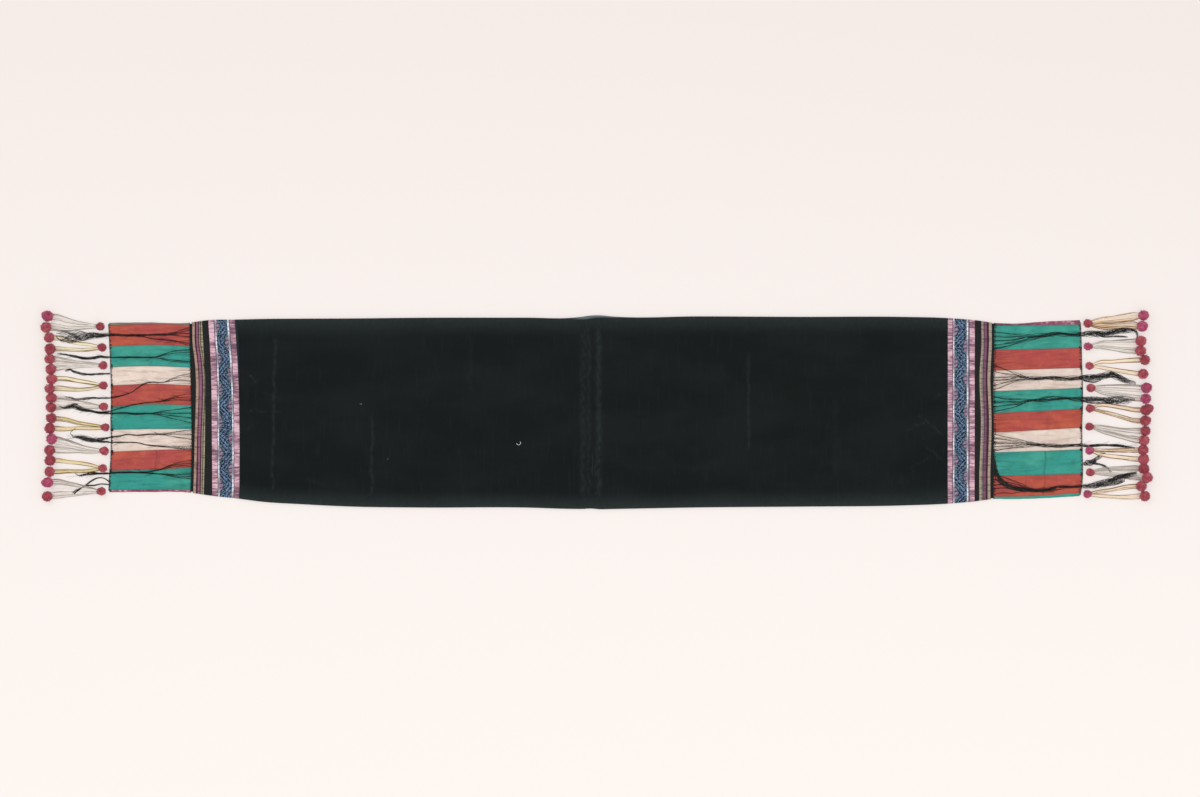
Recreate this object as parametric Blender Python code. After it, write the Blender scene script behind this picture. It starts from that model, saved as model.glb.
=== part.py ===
"""A long velvet sash laid flat, with woven bands, pieced silk ends and pompom tassels.

The cloth is doubled: its long edges are folds, and its back lies on the surface at z = 0.
+X runs along the sash, +Y points to its upper fold and +Z is up. Units are metres.
Places in the plan were measured on a straight-down view, and are written in view pixels.
"""
import math

import bmesh
import bpy
from mathutils import Vector

# The plan: one view pixel covers VIEW_SCALE of cloth, and the sash's middle is at the origin.
VIEW_SCALE = 0.0018
MIDDLE_PX = 596.25
MIDDLE_PY = 410.05

SEAM_GAP = 0.0003

# Where the points of a flattened tube lie across its underside and its upper side.
UNDERSIDE_STATIONS = (0.0, 0.3, 0.5, 0.7, 1.0)
UPPER_STATIONS = (0.12, 0.3, 0.5, 0.7, 0.88)

# How a rolled fold sinks to the flat cloth: distance from its crest, share of its extra height.
ROLL_PROFILE = ((0.0, 1.0), (0.005, 0.8), (0.011, 0.4), (0.022, 0.0))
ROLL_ANGLES = (-45, 0, 45)

# The silk's columns along the sash, and the crown of a strip: share of its width, share of height.
SILK_COLUMNS = (0.0, 0.25, 0.5, 0.75, 1.0)
CROWN_PROFILE = ((0.0, 0.0), (0.22, 0.8), (0.5, 1.0), (0.78, 0.8), (1.0, 0.0))
SILK_BACK_ROWS = 9

# Cloth: the thickness of one wall, the height of both layers, and the height of the rolled folds.
VELVET_WALL = 0.0020
VELVET_HEIGHT = 0.0043
VELVET_FOLD_HEIGHT = 0.0064
BAND_WALL = 0.0015
BAND_HEIGHT = 0.0034
BAND_FOLD_HEIGHT = 0.0042
SILK_WALL = 0.0012
SILK_SEAM_HEIGHT = 0.0027
SILK_CROWN_HEIGHT = 0.0032
SILK_FOLD_HEIGHT = 0.0029
SILK_TURN_UNDER = 0.036

# The overcast edge of each end, and the selvedge that the black threads grow from.
EDGING_WIDTH = 0.0011
EDGING_LOW = 0.0004
EDGING_HIGH = 0.0031
SELVEDGE_WIDTH = 0.0034
SELVEDGE_LOW = 0.0005
SELVEDGE_LIP = 0.00345
SELVEDGE_HIGH = 0.0041

# Black threads: width at the root and the tip, and their height on the silk and past its end.
BLACK_ROOT_WIDTH = 0.0010
BLACK_WIDTH = 0.00062
BLACK_TIP_WIDTH = 0.0004
BLACK_HEIGHT_ON_SILK = 0.0038
BLACK_HEIGHT_AT_TIP = 0.0030
BLACK_SINK_PX = 50
BLACK_ROOT_STEP = 0.0012
LEFT_FRINGE_SPAN = (323.6, 491.9)
RIGHT_FRINGE_SPAN = (323.4, 498.4)

# Tassels: pompom radii, thread radius, and how high the threads lie on the surface. A thread's
# first point stands off the pompom by ROOT_STEP. The thread that carries a large pompom meets it at
# APPROACH_SLOPE, at BALL_SINK of its radius, and the other ends beside it at BALL_TUCK.
SMALL_POMPOM_RADIUS = 0.0070
LARGE_POMPOM_RADIUS = 0.0083
POMPOM_CLEARANCE = 0.0003
NECK_RADIUS = 0.0011
NECK_LENGTH = 0.0006
THREAD_RADIUS = 0.00075
THREAD_HEIGHT = 0.0011
THREAD_SPACING = 0.0023
THREAD_FREE_END_GAP = 0.0012
ROOT_STEP = 0.0002
APPROACH_SLOPE = -0.55
BALL_SINK = 0.97
BALL_TUCK = 0.8
BALL_RING_ANGLES = (32, 66, 100, 134)

# The folds seen from above, in columns: px along the sash, py of the upper and of the lower fold.
FOLD_LINES = (
    (104, 322.8, 492.4), (150, 322.4, 492.0), (190, 322.7, 492.6), (197, 321.9, 493.4),
    (210, 320.2, 495.6), (238, 319.5, 498.7), (262, 318.9, 501.8), (300, 318.6, 504.2),
    (350, 318.4, 506.6), (420, 317.7, 507.6), (525, 317.6, 507.6), (575, 317.5, 509.0),
    (583, 316.6, 509.0), (590, 315.6, 508.6), (600, 315.3, 509.3), (612, 316.4, 509.1),
    (700, 316.3, 507.5), (800, 316.8, 506.7), (900, 316.8, 505.6), (947, 318.0, 503.8),
    (976, 320.2, 501.4), (996, 323.0, 499.1), (1012, 323.6, 499.2), (1048, 321.4, 498.1),
    (1086, 319.8, 495.8),
)

# Lines across the sash, in columns: py down the line, px of the line there.
LEFT_EDGE = (
    (324, 108.0), (335, 108.7), (350, 109.4), (365, 110.1), (385, 110.7), (405, 110.7),
    (420, 110.3), (440, 110.8), (460, 110.2), (475, 109.1), (491, 108.3),
)
LEFT_SILK_END = ((320, 189.5), (366, 190.4), (420, 191.6), (470, 191.4), (495, 190.5))
LEFT_BAND_EDGE = ((320, 191.8), (366, 193.2), (400, 194.0), (450, 194.0), (495, 192.9))
LEFT_VELVET_SEAM = ((318, 238.0), (374, 239.4), (410, 240.0), (446, 240.2), (500, 240.1))
RIGHT_VELVET_SEAM = ((318, 947.4), (505, 947.2))
RIGHT_BAND_EDGE = ((320, 991.6), (366, 991.2), (396, 990.6), (430, 991.2), (502, 990.8))
RIGHT_SILK_END = ((320, 994.2), (366, 993.8), (396, 993.2), (430, 993.8), (502, 993.4))
RIGHT_EDGE = (
    (322.4, 1081.0), (335, 1081.5), (370, 1082.4), (400, 1083.2), (430, 1082.3), (450, 1082.7),
    (470, 1083.1), (485, 1082.3), (494.8, 1080.7),
)

# Seams between the silk strips from the upper fold down, in columns: py at three px stations.
LEFT_SEAM_STATIONS = (112, 150, 190)
LEFT_SEAMS = (
    (325.2, 324.1, 324.7), (346.3, 344.7, 346.3), (367.0, 366.0, 367.6),
    (385.5, 383.9, 385.2), (406.8, 404.3, 405.2), (429.8, 429.0, 429.1),
    (451.8, 450.2, 449.2), (470.6, 469.6, 467.7), (489.9, 489.6, 490.0),
)
RIGHT_SEAM_STATIONS = (996, 1040, 1081)
RIGHT_SEAMS = (
    (325.6, 325.0, 324.4), (350.0, 349.0, 347.9), (370.5, 369.0, 367.8),
    (391.0, 389.5, 388.0), (413.0, 411.0, 408.8), (432.6, 430.0, 427.7),
    (452.3, 451.0, 449.5), (475.8, 475.0, 474.0), (496.8, 496.0, 493.0),
)
LEFT_STRIP_COLOURS = ("red", "green", "cream", "red", "green", "cream", "red", "green")
RIGHT_STRIP_COLOURS = ("green", "red", "cream", "green", "red", "cream", "green", "red")

# Pressed creases that stand up across the velvet, in columns: px, first py, last py, height, width.
VELVET_CREASES = (
    (583.0, 300, 520, 0.0010, 1.5),
    (588.5, 300, 520, 0.0008, 1.5),
    (599.0, 300, 520, 0.0012, 2.0),
    (273.5, 340, 498, 0.0008, 2.5),
    (372.0, 420, 500, 0.0005, 3.0),
    (748.0, 353, 450, 0.0005, 3.0),
    (925.0, 412, 470, 0.0006, 4.0),
)

# Where each velvet section lies along the sash, closer together at the creases.
VELVET_SECTIONS = (
    258, 269, 273.5, 278, 300, 350, 372, 420, 525, 575, 580, 583, 585.8,
    588.5, 594, 599, 604, 612, 700, 748, 800, 900, 917, 925, 933,
)

# Tassels from the upper fold down. Columns: px and py of the small pompom; py of the upper and of
# the lower pair of threads at the four thread stations; px and py of the two large pompoms.
LEFT_THREAD_STATIONS = (89, 78, 67, 58.5)
LEFT_TASSELS = (
    ((100.8, 326.5), (324.3, 322.8, 319.4, 317.0), (327.6, 328.2, 329.4, 328.4),
     (48.2, 316.3), (46.7, 327.4)),
    ((102.7, 347.5), (344.5, 343.5, 339.8, 338.0), (349.8, 350.0, 349.2, 348.8),
     (49.8, 337.6), (50.7, 348.8)),
    ((103.7, 365.4), (363.2, 362.4, 361.0, 359.6), (366.2, 366.2, 367.0, 368.0),
     (50.4, 359.0), (51.4, 369.2)),
    ((104.0, 385.5), (382.6, 381.0, 378.8, 378.4), (388.8, 389.6, 388.8, 388.2),
     (52.3, 379.1), (50.4, 388.6)),
    ((104.3, 406.7), (403.0, 401.2, 399.0, 398.2), (407.4, 406.4, 406.6, 407.0),
     (52.0, 398.0), (51.7, 407.5)),
    ((105.9, 427.4), (424.4, 422.8, 420.0, 418.6), (428.4, 428.2, 429.0, 428.8),
     (52.0, 418.2), (50.4, 428.4)),
    ((104.9, 451.0), (448.2, 445.4, 442.2, 439.8), (452.0, 451.2, 450.6, 450.2),
     (52.2, 438.9), (50.3, 450.1)),
    ((103.3, 468.2), (464.6, 463.0, 461.8, 460.6), (470.6, 471.2, 471.2, 471.6),
     (50.7, 460.3), (50.3, 471.7)),
    ((102.1, 491.2), (488.0, 485.4, 483.6, 482.0), (492.8, 494.0, 495.0, 495.6),
     (48.5, 482.3), (47.9, 496.3)),
)
RIGHT_THREAD_STATIONS = (1101, 1112, 1124, 1134)
RIGHT_TASSELS = (
    ((1087.2, 323.5), (320.4, 319.4, 318.0, 316.4), (326.4, 326.4, 325.8, 325.8),
     (1142.9, 315.5), (1141.6, 326.4)),
    ((1087.4, 346.5), (342.2, 342.0, 342.0, 341.6), (347.6, 348.8, 350.4, 351.0),
     (1140.4, 341.0), (1140.0, 350.9)),
    ((1089.0, 365.9), (362.0, 361.6, 360.6, 360.2), (367.6, 369.4, 371.4, 373.2),
     (1144.2, 360.0), (1142.3, 373.9)),
    ((1090.2, 387.9), (386.4, 386.2, 386.6, 387.2), (392.8, 394.6, 396.6, 398.2),
     (1145.8, 387.9), (1145.2, 398.8)),
    ((1089.4, 408.4), (405.0, 405.8, 407.8, 409.6), (411.4, 414.2, 417.8, 420.4),
     (1145.3, 410.0), (1144.7, 420.8)),
    ((1088.8, 426.5), (426.4, 428.6, 430.4, 430.8), (431.4, 434.0, 437.0, 439.4),
     (1144.7, 430.9), (1143.4, 440.4)),
    ((1089.0, 450.6), (450.4, 450.6, 450.4, 450.0), (454.6, 456.4, 457.8, 459.0),
     (1142.6, 449.8), (1143.0, 459.2)),
    ((1089.6, 472.2), (469.2, 468.8, 468.4, 468.4), (474.0, 474.6, 475.6, 476.6),
     (1143.2, 468.6), (1146.6, 477.4)),
    ((1086.9, 494.1), (491.4, 490.2, 487.6, 486.4), (495.8, 496.6, 497.0, 496.6),
     (1140.6, 486.0), (1144.0, 496.1)),
)

# Bundles of black threads. Each has its first and last root py, its number of threads, and its
# lane in columns: px, py of the middle, and how far the bundle spreads across in px.
LEFT_BUNDLES = (
    (328, 345, 5, (
        (160, 334.6, 3.0), (134, 335.3, 2.7), (108, 335.2, 2.7), (84, 335.4, 3.2),
        (60, 334.2, 4.4),
    )),
    (351, 364, 4, ((157, 357.0, 2.3), (108, 357.0, 2.2), (80, 356.6, 2.2), (60, 354.2, 2.4))),
    (374, 383, 3, (
        (178, 379.0, 4.0), (150, 382.5, 1.8), (130, 393.0, 1.8), (112, 397.4, 1.7),
        (85, 397.6, 2.2), (62, 394.8, 1.8),
    )),
    (395, 401, 3, (
        (166, 398.6, 2.4), (150, 400.0, 1.3), (128, 404.4, 1.2), (112, 411.3, 1.1),
        (98, 411.5, 1.1), (85, 410.8, 1.2), (72, 411.4, 1.2),
    )),
    (408, 424, 4, (
        (160, 413.5, 5.0), (142, 413.0, 2.4), (112, 414.2, 2.2), (98, 414.2, 2.2),
        (80, 414.2, 2.4), (66, 415.2, 2.6),
    )),
    (430, 440, 3, (
        (160, 434.2, 1.8), (130, 435.6, 1.7), (110, 437.0, 1.6), (95, 438.6, 1.6),
        (80, 437.2, 1.8), (69, 435.6, 2.4),
    )),
    (446, 448, 2, (
        (155, 446.0, 0.7), (140, 443.6, 0.7), (110, 441.8, 0.7), (95, 441.6, 0.7),
        (76, 440.4, 0.8),
    )),
    (460, 479, 4, (
        (165, 470.6, 5.0), (135, 473.0, 2.2), (112, 473.8, 2.0), (98, 475.4, 2.0),
        (80, 475.8, 2.2), (71, 476.4, 2.6),
    )),
)
RIGHT_BUNDLES = (
    (332, 349, 5, (
        (1035, 337.0, 3.0), (1050, 334.9, 2.7), (1083, 334.4, 2.7), (1105, 334.0, 3.0),
        (1131, 332.6, 3.6),
    )),
    (365, 390, 6, (
        (1008, 376.0, 14.0), (1026, 378.0, 3.6), (1055, 378.0, 3.2), (1083, 377.2, 3.2),
        (1095, 378.0, 3.2), (1113, 378.8, 3.4), (1131, 380.0, 3.8),
    )),
    (397, 412, 4, (
        (1010, 402.0, 9.0), (1035, 401.0, 2.3), (1050, 398.8, 2.2), (1083, 398.8, 2.2),
        (1095, 400.0, 2.2), (1122, 402.0, 2.2), (1134, 403.8, 2.4),
    )),
    (434, 451, 5, (
        (1012, 443.0, 9.0), (1035, 444.0, 2.8), (1060, 444.6, 2.7), (1083, 442.8, 2.7),
        (1096, 443.2, 2.7), (1114, 445.0, 2.7), (1133, 446.4, 2.8),
    )),
    (463, 487, 6, (
        (1001, 480.0, 12.0), (1012, 486.6, 4.2), (1030, 489.8, 3.3), (1045, 489.4, 3.3),
        (1060, 486.8, 3.2), (1083, 484.8, 3.2), (1096, 483.8, 3.2), (1108, 481.6, 3.2),
        (1120, 479.4, 3.2), (1130, 480.4, 3.2),
    )),
)


def to_x(px):
    return (px - MIDDLE_PX) * VIEW_SCALE


def to_y(py):
    return (MIDDLE_PY - py) * VIEW_SCALE


def read_table(table, at, column=1):
    """The value of a column at a place along the table's first column, straight between rows."""
    if at <= table[0][0]:
        return table[0][column]
    for before, after in zip(table, table[1:]):
        if at <= after[0]:
            part = (at - before[0]) / (after[0] - before[0])
            return before[column] + (after[column] - before[column]) * part
    return table[-1][column]


def upper_fold(px):
    return read_table(FOLD_LINES, px, 1)


def lower_fold(px):
    return read_table(FOLD_LINES, px, 2)


def seam_at(stations, seam, px):
    return read_table(tuple(zip(stations, seam)), px)


def make_material(name, colour, roughness):
    material = bpy.data.materials.new(name)
    material.use_nodes = True
    shader = material.node_tree.nodes["Principled BSDF"]
    shader.inputs["Base Color"].default_value = (*colour, 1.0)
    shader.inputs["Roughness"].default_value = roughness
    shader.inputs["Metallic"].default_value = 0.0
    material.diffuse_color = (*colour, 1.0)
    return material


def finish_piece(name, mesh, material, parent, smooth=True):
    """Make the object, with its own origin at the middle of its mesh, under the sash's empty."""
    bmesh.ops.recalc_face_normals(mesh, faces=mesh.faces)
    low = Vector([min(vert.co[axis] for vert in mesh.verts) for axis in range(3)])
    high = Vector([max(vert.co[axis] for vert in mesh.verts) for axis in range(3)])
    middle = (low + high) / 2
    bmesh.ops.translate(mesh, verts=mesh.verts, vec=-middle)
    data = bpy.data.meshes.new(name)
    mesh.to_mesh(data)
    mesh.free()
    data.materials.append(material)
    if smooth:
        data.shade_smooth()
        data.set_sharp_from_angle(angle=math.radians(40))
    piece = bpy.data.objects.new(name, data)
    bpy.context.scene.collection.objects.link(piece)
    piece.parent = parent
    piece.location = middle
    return piece


def join_rings(mesh, first, second):
    """Faces between two closed rings with the same number of points."""
    for index, vert in enumerate(first):
        before = index - 1
        mesh.faces.new((first[before], vert, second[index], second[before]))


# Cloth tubes pressed flat: the velvet and the two woven bands.

def crease_height(px, py):
    """How far the velvet's upper layer stands up at a place in the plan."""
    total = 0.0
    for crease_px, first_py, last_py, height, width in VELVET_CREASES:
        if first_py <= py <= last_py:
            total += height * math.exp(-((px - crease_px) / width) ** 2)
    return total


def tube_section(top, bottom, inset, flat_height, fold_height):
    """Points (y, z) round a flattened tube, in by inset from its outer face.

    The upper layer is high beside each fold and sinks to flat_height further in.
    """
    roll = fold_height / 2
    width = top - bottom - 2 * roll
    points = [(bottom + roll + width * part, inset) for part in UNDERSIDE_STATIONS]
    points += [arc_point(top - roll, 1.0, roll, roll - inset, angle) for angle in ROLL_ANGLES]
    for distance, share in ROLL_PROFILE:
        height = flat_height + (fold_height - flat_height) * share
        points.append((top - roll - distance, height - inset))
    inner_top = top - roll - ROLL_PROFILE[-1][0]
    inner_bottom = bottom + roll + ROLL_PROFILE[-1][0]
    for part in UPPER_STATIONS:
        points.append((inner_top + (inner_bottom - inner_top) * part, flat_height - inset))
    for distance, share in reversed(ROLL_PROFILE):
        height = flat_height + (fold_height - flat_height) * share
        points.append((bottom + roll + distance, height - inset))
    for angle in reversed(ROLL_ANGLES):
        points.append(arc_point(bottom + roll, -1.0, roll, roll - inset, angle))
    return points


def arc_point(turn, outward, middle_height, radius, angle):
    """A point of a fold's round, at an angle up from straight outward."""
    bend = math.radians(angle)
    return turn + outward * radius * math.cos(bend), middle_height + radius * math.sin(bend)


def tube_ring(mesh, place_px, inset, heights, lift):
    """One closed ring of the tube, where place_px(py) gives the px of each of its points."""
    flat_height, fold_height = heights
    middle_px = place_px(MIDDLE_PY)
    top = to_y(upper_fold(middle_px))
    bottom = to_y(lower_fold(middle_px))
    ring = []
    for y, z in tube_section(top, bottom, inset, flat_height, fold_height):
        py = MIDDLE_PY - y / VIEW_SCALE
        px = place_px(py)
        is_upper_layer = z > fold_height / 2 + inset / 2
        rise = lift(px, py) if is_upper_layer else 0.0
        ring.append(mesh.verts.new((to_x(px), y, z + rise)))
    return ring


def build_tube(name, places, wall, heights, material, parent, lift):
    """A tube of cloth with its wall, open at both ends, through one ring for each place."""
    mesh = bmesh.new()
    outer = [tube_ring(mesh, place, 0.0, heights, lift) for place in places]
    inner = [tube_ring(mesh, place, wall, heights, lift) for place in places]
    for first, second in zip(outer, outer[1:]):
        join_rings(mesh, first, second)
    for first, second in zip(inner, inner[1:]):
        join_rings(mesh, second, first)
    join_rings(mesh, inner[0], outer[0])
    join_rings(mesh, outer[-1], inner[-1])
    return finish_piece(name, mesh, material, parent)


def line_place(line, shift):
    """A place that follows a line across the sash, shifted along the sash by a real distance."""
    return lambda py: read_table(line, py) + shift / VIEW_SCALE


def blended_place(first_line, last_line, share):
    return lambda py: (1 - share) * read_table(first_line, py) + share * read_table(last_line, py)


def build_velvet(material, parent):
    half_gap = SEAM_GAP / 2
    places = [line_place(LEFT_VELVET_SEAM, half_gap)]
    places += [line_place(((0, px), (1, px)), 0.0) for px in VELVET_SECTIONS]
    places.append(line_place(RIGHT_VELVET_SEAM, -half_gap))
    heights = (VELVET_HEIGHT, VELVET_FOLD_HEIGHT)
    build_tube("velvet_main", places, VELVET_WALL, heights, material, parent, crease_height)


def build_band(name, first_line, last_line, material, parent):
    half_gap = SEAM_GAP / 2
    places = [line_place(first_line, half_gap)]
    places += [blended_place(first_line, last_line, share) for share in (0.25, 0.5, 0.75)]
    places.append(line_place(last_line, -half_gap))
    heights = (BAND_HEIGHT, BAND_FOLD_HEIGHT)
    build_tube(name, places, BAND_WALL, heights, material, parent, lambda px, py: 0.0)


# The pieced silk ends.

def silk_span(side, py):
    """The px between which the silk of an end lies at a height in the plan, edging left out."""
    edging = (EDGING_WIDTH + 2 * SEAM_GAP) / VIEW_SCALE
    if side == "left":
        return read_table(LEFT_EDGE, py) + edging, read_table(LEFT_SILK_END, py)
    return read_table(RIGHT_SILK_END, py), read_table(RIGHT_EDGE, py) - edging


def silk_px(side, along, py):
    """The px at a share of the way along the silk, at a height in the plan."""
    first_px, last_px = silk_span(side, py)
    return first_px + (last_px - first_px) * along


def build_strip(name, side, stations, upper_seam, lower_seam, material, parent):
    """A strip of silk: crowned between its two seams, on a plain underside."""
    half_gap = SEAM_GAP / 2
    under = SILK_WALL + SEAM_GAP
    mesh = bmesh.new()
    grid = []
    for part, crown in CROWN_PROFILE:
        row = []
        for along in SILK_COLUMNS:
            py = MIDDLE_PY
            for _ in range(3):
                px = silk_px(side, along, py)
                upper = seam_at(stations, upper_seam, px)
                lower = seam_at(stations, lower_seam, px)
                py = upper + (lower - upper) * part
            y = to_y(upper) - half_gap - (to_y(upper) - to_y(lower) - SEAM_GAP) * part
            z = SILK_SEAM_HEIGHT + (SILK_CROWN_HEIGHT - SILK_SEAM_HEIGHT) * crown
            row.append(mesh.verts.new((to_x(px), y, z)))
        grid.append(row)
    close_slab(mesh, grid, under)
    finish_piece(name, mesh, material, parent)


def close_slab(mesh, grid, under):
    """Give a grid of points its upper faces, four sides and one flat underside."""
    for row, next_row in zip(grid, grid[1:]):
        for index in range(len(row) - 1):
            mesh.faces.new((row[index], next_row[index], next_row[index + 1], row[index + 1]))
    rim = grid[0] + [row[-1] for row in grid[1:-1]] + grid[-1][::-1]
    rim += [row[0] for row in grid[-2:0:-1]]
    foot = [mesh.verts.new((vert.co.x, vert.co.y, under)) for vert in rim]
    join_rings(mesh, foot, rim)
    mesh.faces.new(foot)


def build_silk_fold(name, side, stations, seam, upper, material, parent):
    """The strip that turns round a long fold: a narrow upper leaf and a wide one underneath."""
    radius = SILK_FOLD_HEIGHT / 2
    inner_radius = radius - SILK_WALL
    outward = 1.0 if upper else -1.0
    fold_line = upper_fold if upper else lower_fold
    mesh = bmesh.new()
    rings = []
    for along in SILK_COLUMNS:
        px = silk_px(side, along, MIDDLE_PY)
        fold = to_y(fold_line(px))
        turn = fold - outward * radius
        leaf_end = to_y(seam_at(stations, seam, px)) + outward * SEAM_GAP / 2
        under_end = fold - outward * SILK_TURN_UNDER
        under_middle = (under_end + turn) / 2
        section = [(under_end, 0.0), (under_middle, 0.0), (turn, 0.0)]
        section += [arc_point(turn, outward, radius, radius, angle) for angle in ROLL_ANGLES]
        section += [(turn, 2 * radius), (leaf_end, 2 * radius)]
        section += [(leaf_end, 2 * radius - SILK_WALL), (turn, 2 * radius - SILK_WALL)]
        section += [arc_point(turn, outward, radius, inner_radius, 0)]
        section += [(turn, SILK_WALL), (under_middle, SILK_WALL), (under_end, SILK_WALL)]
        ring = []
        for y, z in section:
            point_px = silk_px(side, along, MIDDLE_PY - y / VIEW_SCALE)
            ring.append(mesh.verts.new((to_x(point_px), y, z)))
        rings.append(ring)
    for first, second in zip(rings, rings[1:]):
        join_rings(mesh, first, second)
    mesh.faces.new(rings[0])
    mesh.faces.new(rings[-1])
    finish_piece(name, mesh, material, parent)


def build_silk_back(name, side, material, parent):
    """The hidden strips of an end's back, lying between the two turned-under leaves."""
    inset = (SILK_TURN_UNDER + SEAM_GAP) / VIEW_SCALE
    mesh = bmesh.new()
    grid = []
    for row_number in range(SILK_BACK_ROWS):
        down = row_number / (SILK_BACK_ROWS - 1)
        row = []
        for along in SILK_COLUMNS:
            px = silk_px(side, along, MIDDLE_PY)
            first_py = upper_fold(px) + inset
            last_py = lower_fold(px) - inset
            py = first_py + (last_py - first_py) * down
            row.append(mesh.verts.new((to_x(silk_px(side, along, py)), to_y(py), SILK_WALL)))
        grid.append(row)
    close_slab(mesh, grid, 0.0)
    finish_piece(name, mesh, material, parent)


def build_edging(name, edge_line, outward, material, parent):
    """The overcast edge: a thin bead of thread stitches that follows the end of the silk."""
    mesh = bmesh.new()
    rings = []
    for py, outer_px in edge_line:
        outer_x = to_x(outer_px)
        inner_x = outer_x - outward * EDGING_WIDTH
        lip = EDGING_WIDTH * 0.3
        section = (
            (inner_x, EDGING_LOW), (outer_x, EDGING_LOW), (outer_x, EDGING_HIGH - lip),
            (outer_x - outward * lip, EDGING_HIGH), (inner_x, EDGING_HIGH),
        )
        rings.append([mesh.verts.new((x, to_y(py), z)) for x, z in section])
    for first, second in zip(rings, rings[1:]):
        join_rings(mesh, first, second)
    mesh.faces.new(rings[0])
    mesh.faces.new(rings[-1])
    finish_piece(name, mesh, material, parent)


# Threads and pompoms grow out of a face, so that each backing and its strands are one body.

def headings_along(points):
    headings = [(after - before).normalized() for before, after in zip(points, points[1:])]
    return headings + [headings[-1]]


def grow_strand(mesh, face, points, radii):
    """Carry a face's outline along points, and close it at the last one. Gives the end face."""
    ring = list(face.verts)
    heading = face.normal.copy()
    middle = face.calc_center_median()
    outline = [(vert.co - middle).normalized() for vert in ring]
    bmesh.ops.delete(mesh, geom=[face], context="FACES_ONLY")
    for point, radius, new_heading in zip(points, radii, headings_along(points)):
        turn = heading.rotation_difference(new_heading)
        outline = [turn @ arm for arm in outline]
        heading = new_heading
        new_ring = [mesh.verts.new(point + arm * radius) for arm in outline]
        join_rings(mesh, ring, new_ring)
        ring = new_ring
    end = mesh.faces.new(ring)
    end.normal_update()
    return end


def grow_pompom(mesh, face, middle, radius):
    """Swell a face into a ball with twice as many sides. Gives the faces round its far pole."""
    ring = list(face.verts)
    near = face.calc_center_median()
    axis = (middle - near).normalized()
    arm = ring[0].co - near
    arm = (arm - axis * arm.dot(axis)).normalized()
    across = axis.cross(arm)
    sides = 2 * len(ring)
    bmesh.ops.delete(mesh, geom=[face], context="FACES_ONLY")
    rings = []
    for polar in BALL_RING_ANGLES:
        bend = math.radians(polar)
        level = middle - axis * radius * math.cos(bend)
        reach = radius * math.sin(bend)
        new_ring = []
        for side in range(sides):
            turn = 2 * math.pi * side / sides
            spoke = arm * math.cos(turn) + across * math.sin(turn)
            new_ring.append(mesh.verts.new(level + spoke * reach))
        rings.append(new_ring)
    first = rings[0]
    for index, vert in enumerate(ring):
        after = ring[(index + 1) % len(ring)]
        between = first[2 * index + 1]
        mesh.faces.new((vert, after, between))
        mesh.faces.new((vert, between, first[2 * index]))
        mesh.faces.new((after, first[(2 * index + 2) % sides], between))
    for before, after in zip(rings, rings[1:]):
        join_rings(mesh, before, after)
    pole = mesh.verts.new(middle + axis * radius)
    caps = []
    for index, vert in enumerate(rings[-1]):
        cap = mesh.faces.new((rings[-1][index - 1], vert, pole))
        cap.normal_update()
        caps.append(cap)
    return caps


def start_neck(mesh, start, outward, radius):
    """A tassel's short square neck, closed at the cloth. Gives its end, for the pompom to grow on."""
    axis = Vector((outward, 0.0, 0.0))
    side = Vector((0, 0, 1)).cross(axis)
    up = axis.cross(side)
    rings = []
    for middle in (start, start + axis * NECK_LENGTH):
        arms = (side, up, -side, -up)
        rings.append([mesh.verts.new(middle + arm * radius) for arm in arms])
    join_rings(mesh, rings[0], rings[1])
    mesh.faces.new(rings[0][::-1])
    end = mesh.faces.new(rings[1])
    end.normal_update()
    return end


def thread_points(root, lane, stations, offset, end):
    """A thread's way: out of the pompom, down to the surface, along its lane and to its end."""
    points = [root]
    for station, py in zip(stations, lane):
        points.append(Vector((to_x(station), to_y(py) + offset, THREAD_HEIGHT)))
    points.append(end)
    return points


def build_tassel(name, row, stations, edge_line, outward, material, parent):
    """A small pompom sewn to the edge, two pairs of threads, and a large pompom on each pair."""
    (small_px, small_py), upper_lane, lower_lane, upper_large, lower_large = row
    small_middle = Vector((to_x(small_px), to_y(small_py), SMALL_POMPOM_RADIUS + POMPOM_CLEARANCE))
    edge_x = to_x(read_table(edge_line, small_py)) + outward * SEAM_GAP
    neck_start = Vector((edge_x, to_y(small_py), (EDGING_LOW + EDGING_HIGH) / 2))
    mesh = bmesh.new()
    neck = start_neck(mesh, neck_start, outward, NECK_RADIUS)
    caps = grow_pompom(mesh, neck, small_middle, SMALL_POMPOM_RADIUS)
    upper_roots = sorted(caps, key=lambda cap: -cap.calc_center_median().y)[:3]
    lower_roots = sorted(caps, key=lambda cap: cap.calc_center_median().y)[:3]
    pairs = ((upper_roots, upper_lane, upper_large, 1.0), (lower_roots, lower_lane, lower_large, -1.0))
    for roots, lane, (large_px, large_py), away in pairs:
        large_middle = Vector((to_x(large_px), to_y(large_py), LARGE_POMPOM_RADIUS + POMPOM_CLEARANCE))
        roots = sorted(roots, key=lambda cap: cap.calc_center_median().z)
        for root_face, is_carrier in ((roots[0], False), (roots[-1], True)):
            offset = away * THREAD_SPACING / 2 * (1 if is_carrier else -1)
            root = root_face.calc_center_median() + root_face.normal * ROOT_STEP
            if is_carrier:
                approach = Vector((-outward, 0.0, APPROACH_SLOPE)).normalized()
                end = large_middle + approach * LARGE_POMPOM_RADIUS * BALL_SINK
            else:
                reach = LARGE_POMPOM_RADIUS * BALL_TUCK + THREAD_FREE_END_GAP
                end_y = to_y(lane[-1]) + offset
                end = Vector((large_middle.x - outward * reach, end_y, THREAD_HEIGHT))
            points = thread_points(root, lane, stations, offset, end)
            radii = [THREAD_RADIUS] * len(points)
            tip = grow_strand(mesh, root_face, points, radii)
            if is_carrier:
                grow_pompom(mesh, tip, large_middle, LARGE_POMPOM_RADIUS)
    finish_piece(name, mesh, material, parent)


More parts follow.
